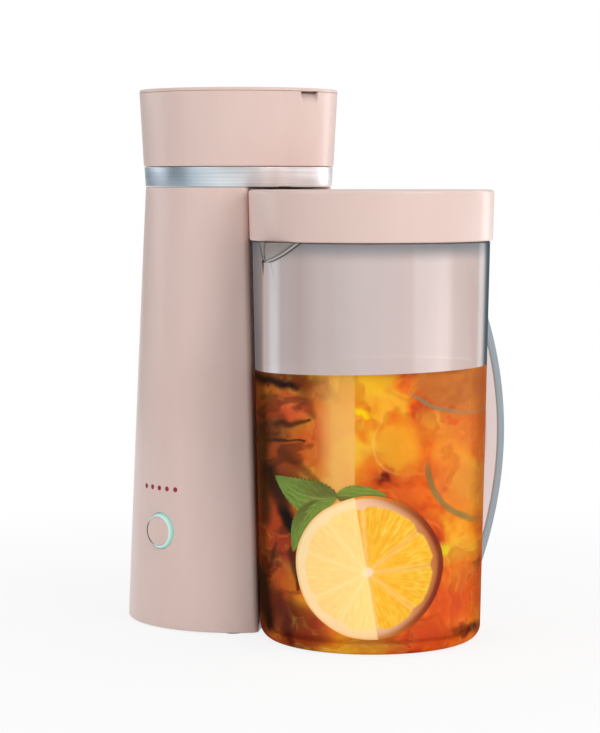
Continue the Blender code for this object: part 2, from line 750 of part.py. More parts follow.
def head_shell(tower):
    """The flared head: a cup on a neck inside the band, with the hinge's two ears."""
    step = HEAD_LOW + HEAD_WALL
    profile = [(0, HEAD_FLOOR_TOP), (NECK_INNER_RADIUS, HEAD_FLOOR_TOP),
               (NECK_INNER_RADIUS, HEAD_LOW), (head_radius(step) - HEAD_WALL, step),
               (head_radius(HEAD_HIGH) - HEAD_WALL, HEAD_HIGH),
               (head_radius(HEAD_HIGH) - EDGE_BREAK, HEAD_HIGH),
               (head_radius(HEAD_HIGH - EDGE_BREAK), HEAD_HIGH - EDGE_BREAK),
               (HEAD_BOTTOM_RADIUS, HEAD_LOW), (NECK_RADIUS, HEAD_LOW),
               (NECK_RADIUS, BAND_LOW), (0, BAND_LOW)]
    head = turned("head_shell", profile, tower)
    ear_middle = HINGE_KNUCKLE_WIDTH / 2 + GAP + HINGE_EAR_WIDTH / 2
    root_x = HINGE_X + HINGE_STANDOFF + HEAD_WALL / 2
    outline = [(root_x, HINGE_Z), (root_x, HINGE_Z - HINGE_EAR_HEIGHT)]
    outline += arc((HINGE_X, HINGE_Z), HINGE_EAR_RADIUS, math.radians(-150.0), math.radians(-360.0),
                   2 * ARC_STEPS)
    for side in (-1, 1):
        ear = standing_plate("hinge_ear", outline, HINGE_EAR_WIDTH, tower)
        ear.location = (0, side * ear_middle, 0)
        join(head, ear)
    half = HINGE_KNUCKLE_WIDTH / 2 + HINGE_EAR_WIDTH + OVERRUN
    cut(head, cylinder("ear_bore", HINGE_PIN_RADIUS + GAP, -half, half, tower,
                       (HINGE_X, 0, HINGE_Z), "Y"))
    cut(head, cylinder("fill_opening", fill_radius(), BAND_LOW - OVERRUN, HEAD_FLOOR_TOP + OVERRUN,
                       tower, (fill_place(), 0, 0), steps=MID_TURN_STEPS))
    drip_way = DRIP_BORE_RADIUS + DRIP_WALL + DRIP_CLEARANCE
    cut(head, cylinder("drip_way", drip_way, BAND_LOW - OVERRUN, HEAD_FLOOR_TOP + OVERRUN,
                       tower, (DRIP_X, 0, 0)))
    cut(head, cylinder("riser_way", RISER_RADIUS + GAP, BAND_LOW - OVERRUN,
                       HEAD_FLOOR_TOP + OVERRUN, tower, (RISER_X, RISER_Y, 0)))
    sweep = (NOTCH_WIDTH ** 2 / 4 + NOTCH_DEPTH ** 2) / (2 * NOTCH_DEPTH)
    cut(head, cylinder("finger_notch", sweep, HEAD_TOP_RADIUS - NOTCH_REACH,
                       HEAD_TOP_RADIUS + OVERRUN, tower,
                       (0, 0, TOP_LID_LOW - NOTCH_DEPTH + sweep), "X", MID_TURN_STEPS))
    return finish(head, BLUSH, 0.38)


def fill_radius():
    return (BASKET_X - BASKET_RADIUS - EDGE_BREAK + NECK_INNER_RADIUS) * 2 / 5


def fill_place():
    return (BASKET_X - BASKET_RADIUS - EDGE_BREAK - NECK_INNER_RADIUS) / 2


def hinge_pin(tower):
    half = HINGE_KNUCKLE_WIDTH / 2 + GAP + HINGE_EAR_WIDTH
    pin = cylinder("lid_hinge_pin", HINGE_PIN_RADIUS, -half, half, tower, (HINGE_X, 0, HINGE_Z), "Y")
    return finish(pin, STEEL, 0.3, 1.0)


def top_lid(hinge):
    """The hinged lid, built about the hinge's axis."""
    skirt_outer = head_radius(HEAD_HIGH) - HEAD_WALL - 2 * GAP
    skirt_inner = skirt_outer - LID_SKIRT_WALL
    low = TOP_LID_LOW - LID_SKIRT_DEPTH - HINGE_Z
    base = TOP_LID_LOW - HINGE_Z
    high = TOWER_HEIGHT - HINGE_Z
    profile = [(0, high), (HEAD_TOP_RADIUS - EDGE_BREAK, high),
               (HEAD_TOP_RADIUS, high - EDGE_BREAK), (HEAD_TOP_RADIUS, base),
               (skirt_outer, base), (skirt_outer, low), (skirt_inner, low), (skirt_inner, base),
               (0, base)]
    lid = turned("top_lid", profile, hinge, (-HINGE_X, 0, 0))
    half = HINGE_KNUCKLE_WIDTH / 2
    arm_top = high - EDGE_BREAK
    arm = box("lid_arm", (0, -half, arm_top - HINGE_ARM_THICKNESS),
              (HINGE_STANDOFF + LID_SKIRT_WALL, half, arm_top), hinge)
    knuckle = cylinder("lid_knuckle", HINGE_KNUCKLE_RADIUS, -half, half, hinge, (0, 0, 0), "Y")
    join(lid, arm)
    join(lid, knuckle)
    cut(lid, cylinder("knuckle_bore", HINGE_PIN_RADIUS + GAP, -half - OVERRUN, half + OVERRUN,
                      hinge, (0, 0, 0), "Y"))
    return finish(lid, BLUSH, 0.38)


def teardrop(big, big_radius, small, small_radius):
    """The outline round two circles of unlike radius, anticlockwise."""
    run_x = small[0] - big[0]
    run_y = small[1] - big[1]
    heading = math.atan2(run_y, run_x)
    lean = math.acos((big_radius - small_radius) / math.hypot(run_x, run_y))
    steps = 3 * ARC_STEPS
    return (arc(big, big_radius, heading + lean, heading + math.tau - lean, 2 * steps)
            + arc(small, small_radius, heading - lean, heading + lean, steps))


def shower_plate(hinge):
    """A dish under the lid that leads the hot water from the nozzle to holes over the basket."""
    big = (BASKET_X - HINGE_X, 0)
    small = (RISER_X - HINGE_X, RISER_Y)
    low = SHOWER_LOW - HINGE_Z
    high = TOP_LID_LOW - GAP - HINGE_Z
    dish = plate("shower_plate", teardrop(big, SHOWER_RADIUS, small, SHOWER_INLET_RADIUS),
                 low, high, hinge)
    room = plate("shower_room", teardrop(big, SHOWER_RADIUS - SHOWER_WALL, small,
                                         SHOWER_INLET_RADIUS - SHOWER_WALL),
                 low + SHOWER_FLOOR, high + OVERRUN, hinge)
    cut(dish, room)
    cut(dish, cylinder("shower_inlet", RISER_RADIUS, low - OVERRUN, high, hinge, (*small, 0)))
    turns = [math.tau * i / SHOWER_HOLE_COUNT for i in range(SHOWER_HOLE_COUNT)]
    for x, y in ring_places(turns, SHOWER_HOLE_RING_RADIUS) + [(0, 0)]:
        cut(dish, cylinder("shower_hole", SHOWER_HOLE_RADIUS, low - OVERRUN, high, hinge,
                           (big[0] + x, y, 0), steps=TINY_TURN_STEPS))
    return finish(dish, MILK, 0.45)


def brew_basket(tower):
    """The removable cup in the head, with a drip nozzle through the head's floor."""
    lip_low = BASKET_HIGH - BASKET_LIP_THICKNESS
    top_radius = BASKET_RADIUS + BASKET_FLARE
    profile = [(0, BASKET_LOW + BASKET_FLOOR), (BASKET_RADIUS - BASKET_WALL, BASKET_LOW + BASKET_FLOOR),
               (top_radius - BASKET_WALL, BASKET_HIGH), (top_radius + BASKET_LIP, BASKET_HIGH),
               (top_radius + BASKET_LIP, lip_low), (top_radius, lip_low),
               (BASKET_RADIUS, BASKET_LOW), (0, BASKET_LOW)]
    basket = turned("brew_basket", profile, tower, (BASKET_X, 0, 0), MID_TURN_STEPS)
    join(basket, cylinder("drip_nozzle", DRIP_BORE_RADIUS + DRIP_WALL, BAND_LOW + GAP,
                          BASKET_LOW + BASKET_FLOOR / 2, tower, (DRIP_X, 0, 0)))
    cut(basket, cylinder("drip_bore", DRIP_BORE_RADIUS, BAND_LOW - OVERRUN,
                         BASKET_LOW + BASKET_FLOOR + OVERRUN, tower, (DRIP_X, 0, 0)))
    return finish(basket, MILK, 0.4)


def filter_cup(tower):
    """The slotted cup that hangs in the basket and holds the tea."""
    floor_low = BASKET_LOW + BASKET_FLOOR + FILTER_FLOOR_LIFT
    lip_low = BASKET_HIGH + GAP
    lip_high = lip_low + FILTER_WALL
    outer = BASKET_RADIUS - BASKET_WALL - FILTER_CLEARANCE
    lip = BASKET_RADIUS + BASKET_FLARE + BASKET_LIP
    inner = outer - FILTER_WALL
    profile = [(0, floor_low + FILTER_WALL), (inner, floor_low + FILTER_WALL), (inner, lip_high),
               (lip, lip_high), (lip, lip_low), (outer, lip_low), (outer, floor_low), (0, floor_low)]
    cup = turned("filter_cup", profile, tower, (BASKET_X, 0, 0), MID_TURN_STEPS)
    for i in range(FILTER_SLOT_PAIRS):
        low = (-outer - OVERRUN, -FILTER_SLOT_WIDTH / 2, floor_low + FILTER_BORDER)
        high = (outer + OVERRUN, FILTER_SLOT_WIDTH / 2, lip_low - FILTER_BORDER)
        slot = box("filter_slot", low, high, tower, (BASKET_X, 0, 0))
        slot.rotation_euler = (0, 0, math.pi * (i + 1 / 2) / FILTER_SLOT_PAIRS)
        cut(cup, slot)
    return finish(cup, MILK, 0.5)


def tank_centre(height):
    """The tank leans to the front, so that the riser pipe has room behind it."""
    front = body_radius(height) - BODY_WALL - TANK_CLEARANCE
    back = RISER_Y - RISER_RADIUS - RISER_TANK_CLEARANCE
    return (0, (back - front) / 2), (back + front) / 2


def tank_outline(height, inset=0.0):
    centre, radius = tank_centre(height)
    dock = dock_radius(height) + BODY_WALL + TANK_CLEARANCE
    return crescent(centre, radius - inset, dock + inset, TANK_CORNER - inset)


def water_tank(tower):
    levels = spaced(TANK_FLOOR_HEIGHT, TANK_TOP, TANK_LEVELS)
    inner_levels = [max(z, TANK_FLOOR_HEIGHT + TANK_WALL) for z in reversed(levels)]
    outer = [at_height(tank_outline(z), z) for z in levels]
    inner = [at_height(tank_outline(z, TANK_WALL), z) for z in inner_levels]
    tank = loft("water_tank", outer + inner, tower)
    cut(tank, cylinder("outlet_hole", OUTLET_HOLE_RADIUS, TANK_FLOOR_HEIGHT - OVERRUN,
                       TANK_FLOOR_HEIGHT + TANK_WALL + OVERRUN, tower, (OUTLET_X, OUTLET_Y, 0)))
    return finish(tank, MILK, 0.35, alpha=0.8)


def tank_cradle(tower):
    """A plate on four legs that carries the tank above the heater."""
    inset = BODY_WALL + GAP
    rings = [at_height(tower_outline(z, inset), z) for z in (CRADLE_LOW, CRADLE_TOP)]
    rings[0] = at_height(tower_outline(CRADLE_TOP, inset), CRADLE_LOW)
    cradle = loft("tank_cradle", rings, tower)
    for x, y in leg_places():
        join(cradle, cylinder("cradle_leg", CRADLE_LEG_RADIUS, BASE_TOP + GAP,
                              CRADLE_LOW + CRADLE_THICKNESS / 2, tower, (x, y, 0)))
        cut(cradle, cylinder("leg_bore", SCREW_RADIUS + GAP, BASE_TOP - OVERRUN,
                             FOOT_LIFT + SCREW_LENGTH + GAP, tower, (x, y, 0)))
    cut(cradle, cylinder("outlet_way", OUTLET_HOLE_RADIUS + GROMMET_FLANGE + GAP,
                         CRADLE_LOW - OVERRUN, CRADLE_TOP + OVERRUN, tower, (OUTLET_X, OUTLET_Y, 0)))
    cut(cradle, cylinder("cradle_riser_way", RISER_RADIUS + GAP, CRADLE_LOW - OVERRUN,
                         CRADLE_TOP + OVERRUN, tower, (RISER_X, RISER_Y, 0)))
    return finish(cradle, MILK, 0.5)


def outlet(tower):
    """The rubber grommet in the tank's floor and the check valve below it."""
    place = (OUTLET_X, OUTLET_Y, 0)
    outer = OUTLET_HOLE_RADIUS - GAP
    bore = outer - GROMMET_WALL
    flange = OUTLET_HOLE_RADIUS + GROMMET_FLANGE
    top = TANK_FLOOR_HEIGHT + TANK_WALL + GROMMET_RISE
    low = CRADLE_LOW + GAP
    profile = [(bore, top), (outer, top), (outer, CRADLE_TOP), (flange, CRADLE_TOP), (flange, low),
               (bore, low)]
    finish(turned("tank_grommet", profile, tower, place, SMALL_TURN_STEPS, ring=True), RUBBER, 0.8)
    neck = bore - GAP
    bore_radius = HOSE_BORE_RADIUS
    high = top - GAP
    body_top = low - GAP
    bottom = body_top - VALVE_LENGTH
    profile = [(bore_radius, high), (neck, high), (neck, body_top), (VALVE_RADIUS, body_top),
               (VALVE_RADIUS, bottom), (bore_radius, bottom)]
    finish(turned("check_valve", profile, tower, place, SMALL_TURN_STEPS, ring=True), MILK, 0.4)
    return bottom


def heater(tower):
    """A cast horseshoe on three posts, with its thermostat and thermal fuse on top."""
    outer = HEATER_RADIUS + HEATER_BAR_WIDTH / 2
    inner = HEATER_RADIUS - HEATER_BAR_WIDTH / 2
    end_x = HEATER_X + HEATER_LEG_LENGTH
    quarter = math.pi / 2
    outline = [(end_x, outer)] + arc((HEATER_X, 0), outer, quarter, 3 * quarter, 5 * ARC_STEPS)
    outline += [(end_x, -outer), (end_x, -inner)]
    outline += arc((HEATER_X, 0), inner, 3 * quarter, quarter, 5 * ARC_STEPS) + [(end_x, inner)]
    block = bevel(plate("heater_block", outline, HEATER_LIFT, HEATER_TOP, tower), HEATER_EDGE, 1)
    finish(block, ALUMINIUM, 0.45, 1.0)
    disc = cylinder("thermostat", THERMOSTAT_RADIUS, HEATER_TOP + GAP,
                    HEATER_TOP + GAP + THERMOSTAT_HEIGHT, tower, (HEATER_X - HEATER_RADIUS, 0, 0))
    finish(disc, STEEL, 0.35, 1.0)
    fuse = cylinder("thermal_fuse", FUSE_RADIUS, -FUSE_LENGTH / 2, FUSE_LENGTH / 2, tower,
                    (HEATER_X + HEATER_LEG_LENGTH / 2, HEATER_RADIUS, HEATER_TOP + GAP + FUSE_RADIUS),
                    "X")
    finish(fuse, STEEL, 0.4, 1.0)


def pipes(tower, valve_low):
    """The hose from the valve to the heater, and the riser from the heater to the head."""
    port_x = HEATER_X + HEATER_LEG_LENGTH + GAP
    hose = [Vector((port_x, -HEATER_RADIUS, HEATER_MID))]
    hose += elbow((port_x + HOSE_RADIUS / 2, -HEATER_RADIUS, HEATER_MID), HOSE_BEND_RADIUS)
    hose += swerve(hose[-1], (OUTLET_X, OUTLET_Y, valve_low - GAP - HOSE_RADIUS))
    hose.append(Vector((OUTLET_X, OUTLET_Y, valve_low - GAP)))
    finish(pipe("inlet_hose", hose, HOSE_RADIUS, HOSE_BORE_RADIUS, tower), SILICONE, 0.5)
    riser_top = NOZZLE_TOP - NOZZLE_LENGTH + NOZZLE_SEAT
    riser = [Vector((port_x, HEATER_RADIUS, HEATER_MID))]
    riser += elbow((port_x + RISER_RADIUS / 2, HEATER_RADIUS, HEATER_MID), RISER_BEND_RADIUS)
    riser += swerve(riser[-1], (RISER_X, RISER_Y, CRADLE_LOW - RISER_RADIUS))
    riser.append(Vector((RISER_X, RISER_Y, riser_top)))
    finish(pipe("riser_tube", riser, RISER_RADIUS, RISER_BORE_RADIUS, tower), SILICONE, 0.45)
    seat = RISER_RADIUS + GAP
    outer = seat + NOZZLE_WALL
    low = NOZZLE_TOP - NOZZLE_LENGTH
    profile = [(RISER_BORE_RADIUS, NOZZLE_TOP), (seat, NOZZLE_TOP), (outer, riser_top + GAP),
               (outer, low), (seat, low), (seat, riser_top + GAP), (RISER_BORE_RADIUS, riser_top + GAP)]
    nozzle = turned("riser_nozzle", profile, tower, (RISER_X, RISER_Y, 0), SMALL_TURN_STEPS, ring=True)
    finish(nozzle, MILK, 0.4)


def trim_to_front(piece, front):
    """Keeps what lies within the tower's outer face, so that the piece is flush with it."""
    return boolean(piece, front, "INTERSECT")


def controls(tower, button_axis):
    """The ring-lit button, the row of lights, and the board behind them."""
    low = FOOT_LIFT
    high = WAIST_HEIGHT
    levels = spaced(low, high, BODY_LEVELS)
    profile = [(0, high)] + [(body_radius(z), z) for z in reversed(levels)] + [(0, low)]
    front = as_cutter(turned("front_face", profile, tower, steps=2 * BIG_TURN_STEPS))
    proud = BODY_BOTTOM_RADIUS + OVERRUN
    back = front_depth(RING_RADIUS + RING_FLANGE, BUTTON_HEIGHT, BODY_WALL) - RING_SETBACK / 3
    flange_back = back - RING_FLANGE_THICKNESS
    place = (CONTROL_X, 0, BUTTON_HEIGHT)
    face = front_depth(0, BUTTON_HEIGHT)
    tip = face + RING_RISE
    bore = RING_RADIUS - RING_WIDTH
    flange = RING_RADIUS + RING_FLANGE
    profile = [(bore, tip), (bore + RING_TIP_WIDTH, tip), (RING_RADIUS, face), (RING_RADIUS, back),
               (flange, back), (flange, flange_back), (bore, flange_back)]
    ring = turned("light_ring", profile, tower, place, MID_TURN_STEPS, ring=True)
    ring.rotation_euler = (math.radians(90.0), 0, 0)
    finish(ring, MINT_LIGHT, 0.3)

    board_front = board_depth() + BOARD_THICKNESS / 2
    switch_front = board_front + GAP + SWITCH_DEPTH
    cap_back = face - BUTTON_THICKNESS
    button = cylinder("power_button", bore - GAP, -tip, -cap_back, button_axis, (0, 0, 0), "Y",
                      MID_TURN_STEPS)
    join(button, cylinder("button_stem", BUTTON_STEM_RADIUS, -cap_back - BUTTON_TRAVEL,
                          -switch_front - BUTTON_TRAVEL - GAP, button_axis, (0, 0, 0), "Y"))
    finish(button, BLUSH, 0.4)

    for i in range(LED_COUNT):
        lens = cylinder("led_%d" % (i + 1), LED_RADIUS, -proud, -board_front - GAP, tower,
                        (led_offset(i), 0, LED_HEIGHT), "Y", TINY_TURN_STEPS)
        finish(trim_to_front(lens, front), LED_RED, 0.25)

    half = BOARD_WIDTH / 2
    board = box("control_board", (-half, -board_front, BOARD_LOW),
                (half, -board_front + BOARD_THICKNESS, BOARD_TOP), tower,
                (CONTROL_X, 0, 0))
    finish(board, BOARD_GREEN, 0.5)
    switch = box("button_switch", (-SWITCH_WIDTH / 2, -switch_front, -SWITCH_WIDTH / 2),
                 (SWITCH_WIDTH / 2, -board_front - GAP, SWITCH_WIDTH / 2), tower, place)
    finish(switch, RUBBER, 0.4)


def cord_gland(tower):
    """The bush that the mains lead comes out of."""
    face = body_radius(GLAND_HEIGHT) - GLAND_SEAT + GAP
    profile = [(GLAND_BORE_RADIUS, face + GLAND_FLANGE_THICKNESS),
               (GLAND_RADIUS + EDGE_BREAK, face + GLAND_FLANGE_THICKNESS),
               (GLAND_RADIUS + GLAND_FLANGE, face + GLAND_SEAT + GAP),
               (GLAND_RADIUS, face + GLAND_SEAT), (GLAND_RADIUS, face - GLAND_LENGTH),
               (GLAND_BORE_RADIUS, face - GLAND_LENGTH)]
    gland = turned("cord_gland", profile, tower, (0, 0, GLAND_HEIGHT), SMALL_TURN_STEPS, ring=True)
    gland.rotation_euler = (math.radians(-90.0), 0, 0)
    return finish(gland, RUBBER, 0.7)


def spout_turns():
    """Angles round the jug from the spout, with more of them across the spout."""
    across = [SPOUT_HALF_ANGLE * i / SPOUT_STEPS for i in range(-SPOUT_STEPS, SPOUT_STEPS)]
    rest = [SPOUT_HALF_ANGLE + (math.tau - 2 * SPOUT_HALF_ANGLE) * i / JUG_TURN_STEPS
            for i in range(JUG_TURN_STEPS)]
    return across + rest


def spout_bulge(turn, height):
    """How far the V-shaped spout stands out from the jug's wall."""
    rise = (height - (JUG_HEIGHT - SPOUT_DEPTH)) / SPOUT_DEPTH
    if rise <= 0:
        return 0
    near = abs((turn + math.pi) % math.tau - math.pi) / (SPOUT_HALF_ANGLE * math.sqrt(rise))
    return (SPOUT_TIP_RADIUS - JUG_TOP_RADIUS) * rise * max(0, 1 - near)


def jug_ring(radius, height, inset=0.0):
    return [((radius - inset + spout_bulge(turn, height)) * math.cos(turn + SPOUT_TURN),
             (radius - inset + spout_bulge(turn, height)) * math.sin(turn + SPOUT_TURN), height)
            for turn in spout_turns()]


def pitcher_jug(pitcher):
    """The clear jug: a slightly flared wall, a rounded heel and a V spout at the rim."""
    quarter = math.pi / 2
    heel = arc((jug_radius(JUG_HEEL) - JUG_HEEL, JUG_HEEL), JUG_HEEL, -quarter, 0, ARC_STEPS)
    foot = heel[0][0] - JUG_FOOT_WIDTH
    rings = [jug_ring(foot - JUG_KICK_DEPTH, JUG_KICK_DEPTH), jug_ring(foot, 0)]
    rings += [jug_ring(radius, height) for radius, height in heel]
    spout_low = JUG_HEIGHT - SPOUT_DEPTH
    mid_wall = [JUG_HEEL + (spout_low - JUG_HEEL) / 2, spout_low]
    lip = [spout_low + SPOUT_DEPTH * share for share in LIP_SHARES]
    rings += [jug_ring(jug_radius(z), z) for z in mid_wall + lip]
    rings += [jug_ring(jug_radius(z), z, JUG_WALL) for z in reversed(mid_wall + lip)]
    hollow = JUG_HEEL - JUG_WALL
    inner_floor = JUG_FLOOR + hollow
    inner_heel = arc((jug_radius(inner_floor) - JUG_WALL - hollow, inner_floor), hollow, 0, -quarter,
                     ARC_STEPS)
    rings += [jug_ring(radius, height) for radius, height in inner_heel]
    jug = loft("pitcher_jug", rings, pitcher)
    return finish(jug, CLEAR_GREY, 0.08, alpha=0.35)


def rounded_section():
    """A strap's section about its middle, anticlockwise, as (outward, sideways) points."""
    quarter = math.pi / 2
    out = HANDLE_THICKNESS / 2 - HANDLE_EDGE
    side = HANDLE_WIDTH / 2 - HANDLE_EDGE
    section = []
    for number, corner in enumerate(((out, side), (-out, side), (-out, -side), (out, -side))):
        section += arc(corner, HANDLE_EDGE, number * quarter, (number + 1) * quarter, 2)
    return section


def pitcher_handle(pitcher):
    """A strap bowed in a parabola, cut to the jug's wall at both ends."""
    rings = []
    low_end = HANDLE_MID_HEIGHT - HANDLE_SPAN
    high_end = HANDLE_MID_HEIGHT + HANDLE_SPAN
    for z in spaced(low_end, high_end, HANDLE_STEPS + 1):
        slope = 2 * (z - HANDLE_MID_HEIGHT) / HANDLE_BOW
        out_x = 1 / math.hypot(1, slope)
        out_z = slope * out_x
        reach = HANDLE_REACH - (z - HANDLE_MID_HEIGHT) ** 2 / HANDLE_BOW
        rings.append([(reach + (out - HANDLE_THICKNESS / 2) * out_x, side,
                       z + (out - HANDLE_THICKNESS / 2) * out_z) for out, side in rounded_section()])
    strap = loft("pitcher_handle", rings, pitcher)
    strap.rotation_euler = (0, 0, HANDLE_TURN)
    top = JUG_HEIGHT + OVERRUN
    low = -OVERRUN
    profile = [(0, top), (jug_radius(top) + GAP, top), (jug_radius(low) + GAP, low), (0, low)]
    cut(strap, turned("jug_room", profile, pitcher, steps=2 * BIG_TURN_STEPS))
    return finish(strap, CLEAR_GREY, 0.12, alpha=0.45)


def lid_radius(height):
    share = (height - LID_LOW) / LID_HEIGHT
    return LID_BOTTOM_RADIUS + (LID_TOP_RADIUS - LID_BOTTOM_RADIUS) * share


def pitcher_lid(lid_axis):
    """The round cap, with a hole on the tower's side that the tea drips through."""
    corner_z = LID_HIGH - LID_CORNER
    corner = arc((LID_TOP_RADIUS - LID_CORNER, corner_z), LID_CORNER, math.pi / 2, 0, ARC_STEPS)
    room_top = LID_HIGH - LID_TOP_THICKNESS
    profile = [(0, LID_HIGH)] + corner
    profile += [(LID_BOTTOM_RADIUS, LID_LOW), (LID_BOTTOM_RADIUS - LID_WALL, LID_LOW),
                (lid_radius(room_top) - LID_WALL, room_top), (0, room_top)]
    cap = turned("pitcher_lid", profile, lid_axis, steps=BIG_TURN_STEPS)
    inlet_x = DRIP_X - AXIS_SPACING
    cut(cap, cylinder("lid_inlet", INLET_RADIUS, room_top - OVERRUN, LID_HIGH + OVERRUN, lid_axis,
                      (inlet_x, 0, 0)))
    return finish(cap, BLUSH, 0.38)


def lid_plug(lid_axis):
    """The ring under the cap, with a wide pouring window and a comb of strainer slots."""
    gasket_low = JUG_HEIGHT + GAP
    gasket_high = gasket_low + GASKET_HEIGHT
    flange_low = gasket_high + GAP
    flange_high = flange_low + PLUG_FLANGE_THICKNESS
    flange = LID_BOTTOM_RADIUS - LID_WALL - GAP
    low = JUG_HEIGHT - PLUG_DEPTH
    profile = [(PLUG_INNER_RADIUS, flange_high), (flange, flange_high), (flange, flange_low),
               (PLUG_SKIRT_RADIUS, flange_low), (PLUG_SKIRT_RADIUS, low), (PLUG_INNER_RADIUS, low)]
    ring = turned("lid_plug", profile, lid_axis, ring=True)
    reach = PLUG_SKIRT_RADIUS + OVERRUN
    slot_low = low + POUR_SLOT_EDGE
    slot_high = JUG_HEIGHT - POUR_SLOT_EDGE
    window_turn = SPOUT_TURN + math.pi / 2
    comb_turn = SPOUT_TURN + math.pi
    openings = [(window_turn, POUR_WINDOW_WIDTH)]
    for i in range(POUR_SLOT_COUNT):
        offset = (i - (POUR_SLOT_COUNT - 1) / 2) * POUR_SLOT_STEP
        openings.append((comb_turn + offset, POUR_SLOT_WIDTH))
    for turn, width in openings:
        slot = box("pour_slot", (PLUG_SKIRT_RADIUS / 2, -width / 2, slot_low),
                   (reach, width / 2, slot_high), lid_axis)
        slot.rotation_euler = (0, 0, turn)
        cut(ring, slot)
    finish(ring, BLUSH_DEEP, 0.42)
    gasket_outer = flange
    profile = [(gasket_outer - GASKET_WIDTH, gasket_high), (gasket_outer, gasket_high),
               (gasket_outer, gasket_low), (gasket_outer - GASKET_WIDTH, gasket_low)]
    finish(turned("lid_gasket", profile, lid_axis, ring=True), SILICONE, 0.6)


def build():
    tower = empty("tower_axis", (TOWER_X, TOWER_Y, 0))
    pitcher = empty("pitcher_axis", (TOWER_X + AXIS_SPACING, TOWER_Y, 0))
    lid_axis = empty("pitcher_lid_axis", (0, 0, 0), pitcher)
    hinge = empty("top_lid_hinge_axis", (HINGE_X, 0, HINGE_Z), tower)
    button_axis = empty("power_button_axis", (CONTROL_X, 0, BUTTON_HEIGHT), tower)
    tower_shell(tower)
    base_plate(tower)
    feet(tower)
    base_screws(tower)
    steel_band(tower)
    head_shell(tower)
    hinge_pin(tower)
    top_lid(hinge)
    shower_plate(hinge)
    brew_basket(tower)
    filter_cup(tower)
    water_tank(tower)
    tank_cradle(tower)
    valve_low = outlet(tower)
    heater(tower)
    pipes(tower, valve_low)
    controls(tower, button_axis)
    cord_gland(tower)
    pitcher_jug(pitcher)
    pitcher_handle(pitcher)
    pitcher_lid(lid_axis)
    lid_plug(lid_axis)


build()
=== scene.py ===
import math

import bmesh
import bpy
import numpy as np
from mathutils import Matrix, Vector


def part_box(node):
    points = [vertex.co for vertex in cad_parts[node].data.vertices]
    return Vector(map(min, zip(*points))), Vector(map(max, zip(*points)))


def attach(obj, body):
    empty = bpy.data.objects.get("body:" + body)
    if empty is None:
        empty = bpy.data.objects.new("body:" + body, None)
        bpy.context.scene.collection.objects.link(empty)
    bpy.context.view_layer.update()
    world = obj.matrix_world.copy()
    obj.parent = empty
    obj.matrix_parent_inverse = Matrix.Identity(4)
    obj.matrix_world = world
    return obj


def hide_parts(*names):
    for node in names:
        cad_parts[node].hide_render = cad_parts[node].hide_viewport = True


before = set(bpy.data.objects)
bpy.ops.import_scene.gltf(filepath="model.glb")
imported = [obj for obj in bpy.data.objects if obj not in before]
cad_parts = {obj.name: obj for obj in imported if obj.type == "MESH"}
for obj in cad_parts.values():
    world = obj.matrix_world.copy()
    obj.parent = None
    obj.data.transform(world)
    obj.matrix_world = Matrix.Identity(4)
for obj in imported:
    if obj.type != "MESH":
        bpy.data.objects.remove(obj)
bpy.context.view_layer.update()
bpy.context.scene.view_settings.view_transform = "Standard"
print("frame loaded:", len(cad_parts), "nodes")


# The middle of a node's box, seen from above.
def middleOf(node):
    low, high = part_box(node)
    return (low.x + high.x) / 2, (low.y + high.y) / 2


# the two standing axes
towerX, towerY = middleOf("steel_band")
jugX, jugY = middleOf("pitcher_lid")
viewTurn = math.radians(-50.7)  # the side of the jug that faces the camera
sharpAngle = 38.0  # degrees between faces from which an edge stays sharp
onAxisRadius = 1e-9  # a profile's end nearer to the axis than this is closed to a point
drawUnit = 0.0640  # the drawing on the tea's front is measured in this, the tea's radius
teaLine, teaSlant = 0.1586, 0.0016  # the tea's height, and its rise over one unit to the right


# Surfaces
# Evenly spaced numbers, both ends included.
def span(low, high, count):
    return np.linspace(low, high, count)


# Quads between neighbours of a grid: each point with the next column and the next row.
def gridFaces(rows, cols, wrapCols=True, wrapRows=False):
    row, col = np.meshgrid(np.arange(rows if wrapRows else rows - 1),
                           np.arange(cols if wrapCols else cols - 1), indexing="ij")
    nextRow, nextCol = (row + 1) % rows, (col + 1) % cols
    corners = [row * cols + col, row * cols + nextCol, nextRow * cols + nextCol, nextRow * cols + col]
    return np.stack(corners, axis=-1).reshape(-1, 4)


# Triangles from a ring of point numbers to one centre point.
def capFaces(ring, centre, flip):
    after = np.roll(ring, -1)
    middle = np.full(len(ring), centre)
    return np.stack([after, ring, middle] if flip else [ring, after, middle], axis=-1)


# The faces of a turned grid with one more point at each end: its quads and two caps of triangles.
def closedFaces(rows, steps):
    count = rows * steps
    return [gridFaces(rows, steps), capFaces(np.arange(steps), count, True),
            capFaces(np.arange(steps) + count - steps, count + 1, False)]


# An object of a mesh, a lamp or a camera, put in the scene.
def addObject(name, data):
    made = bpy.data.objects.new(name, data)
    bpy.context.scene.collection.objects.link(made)
    return made


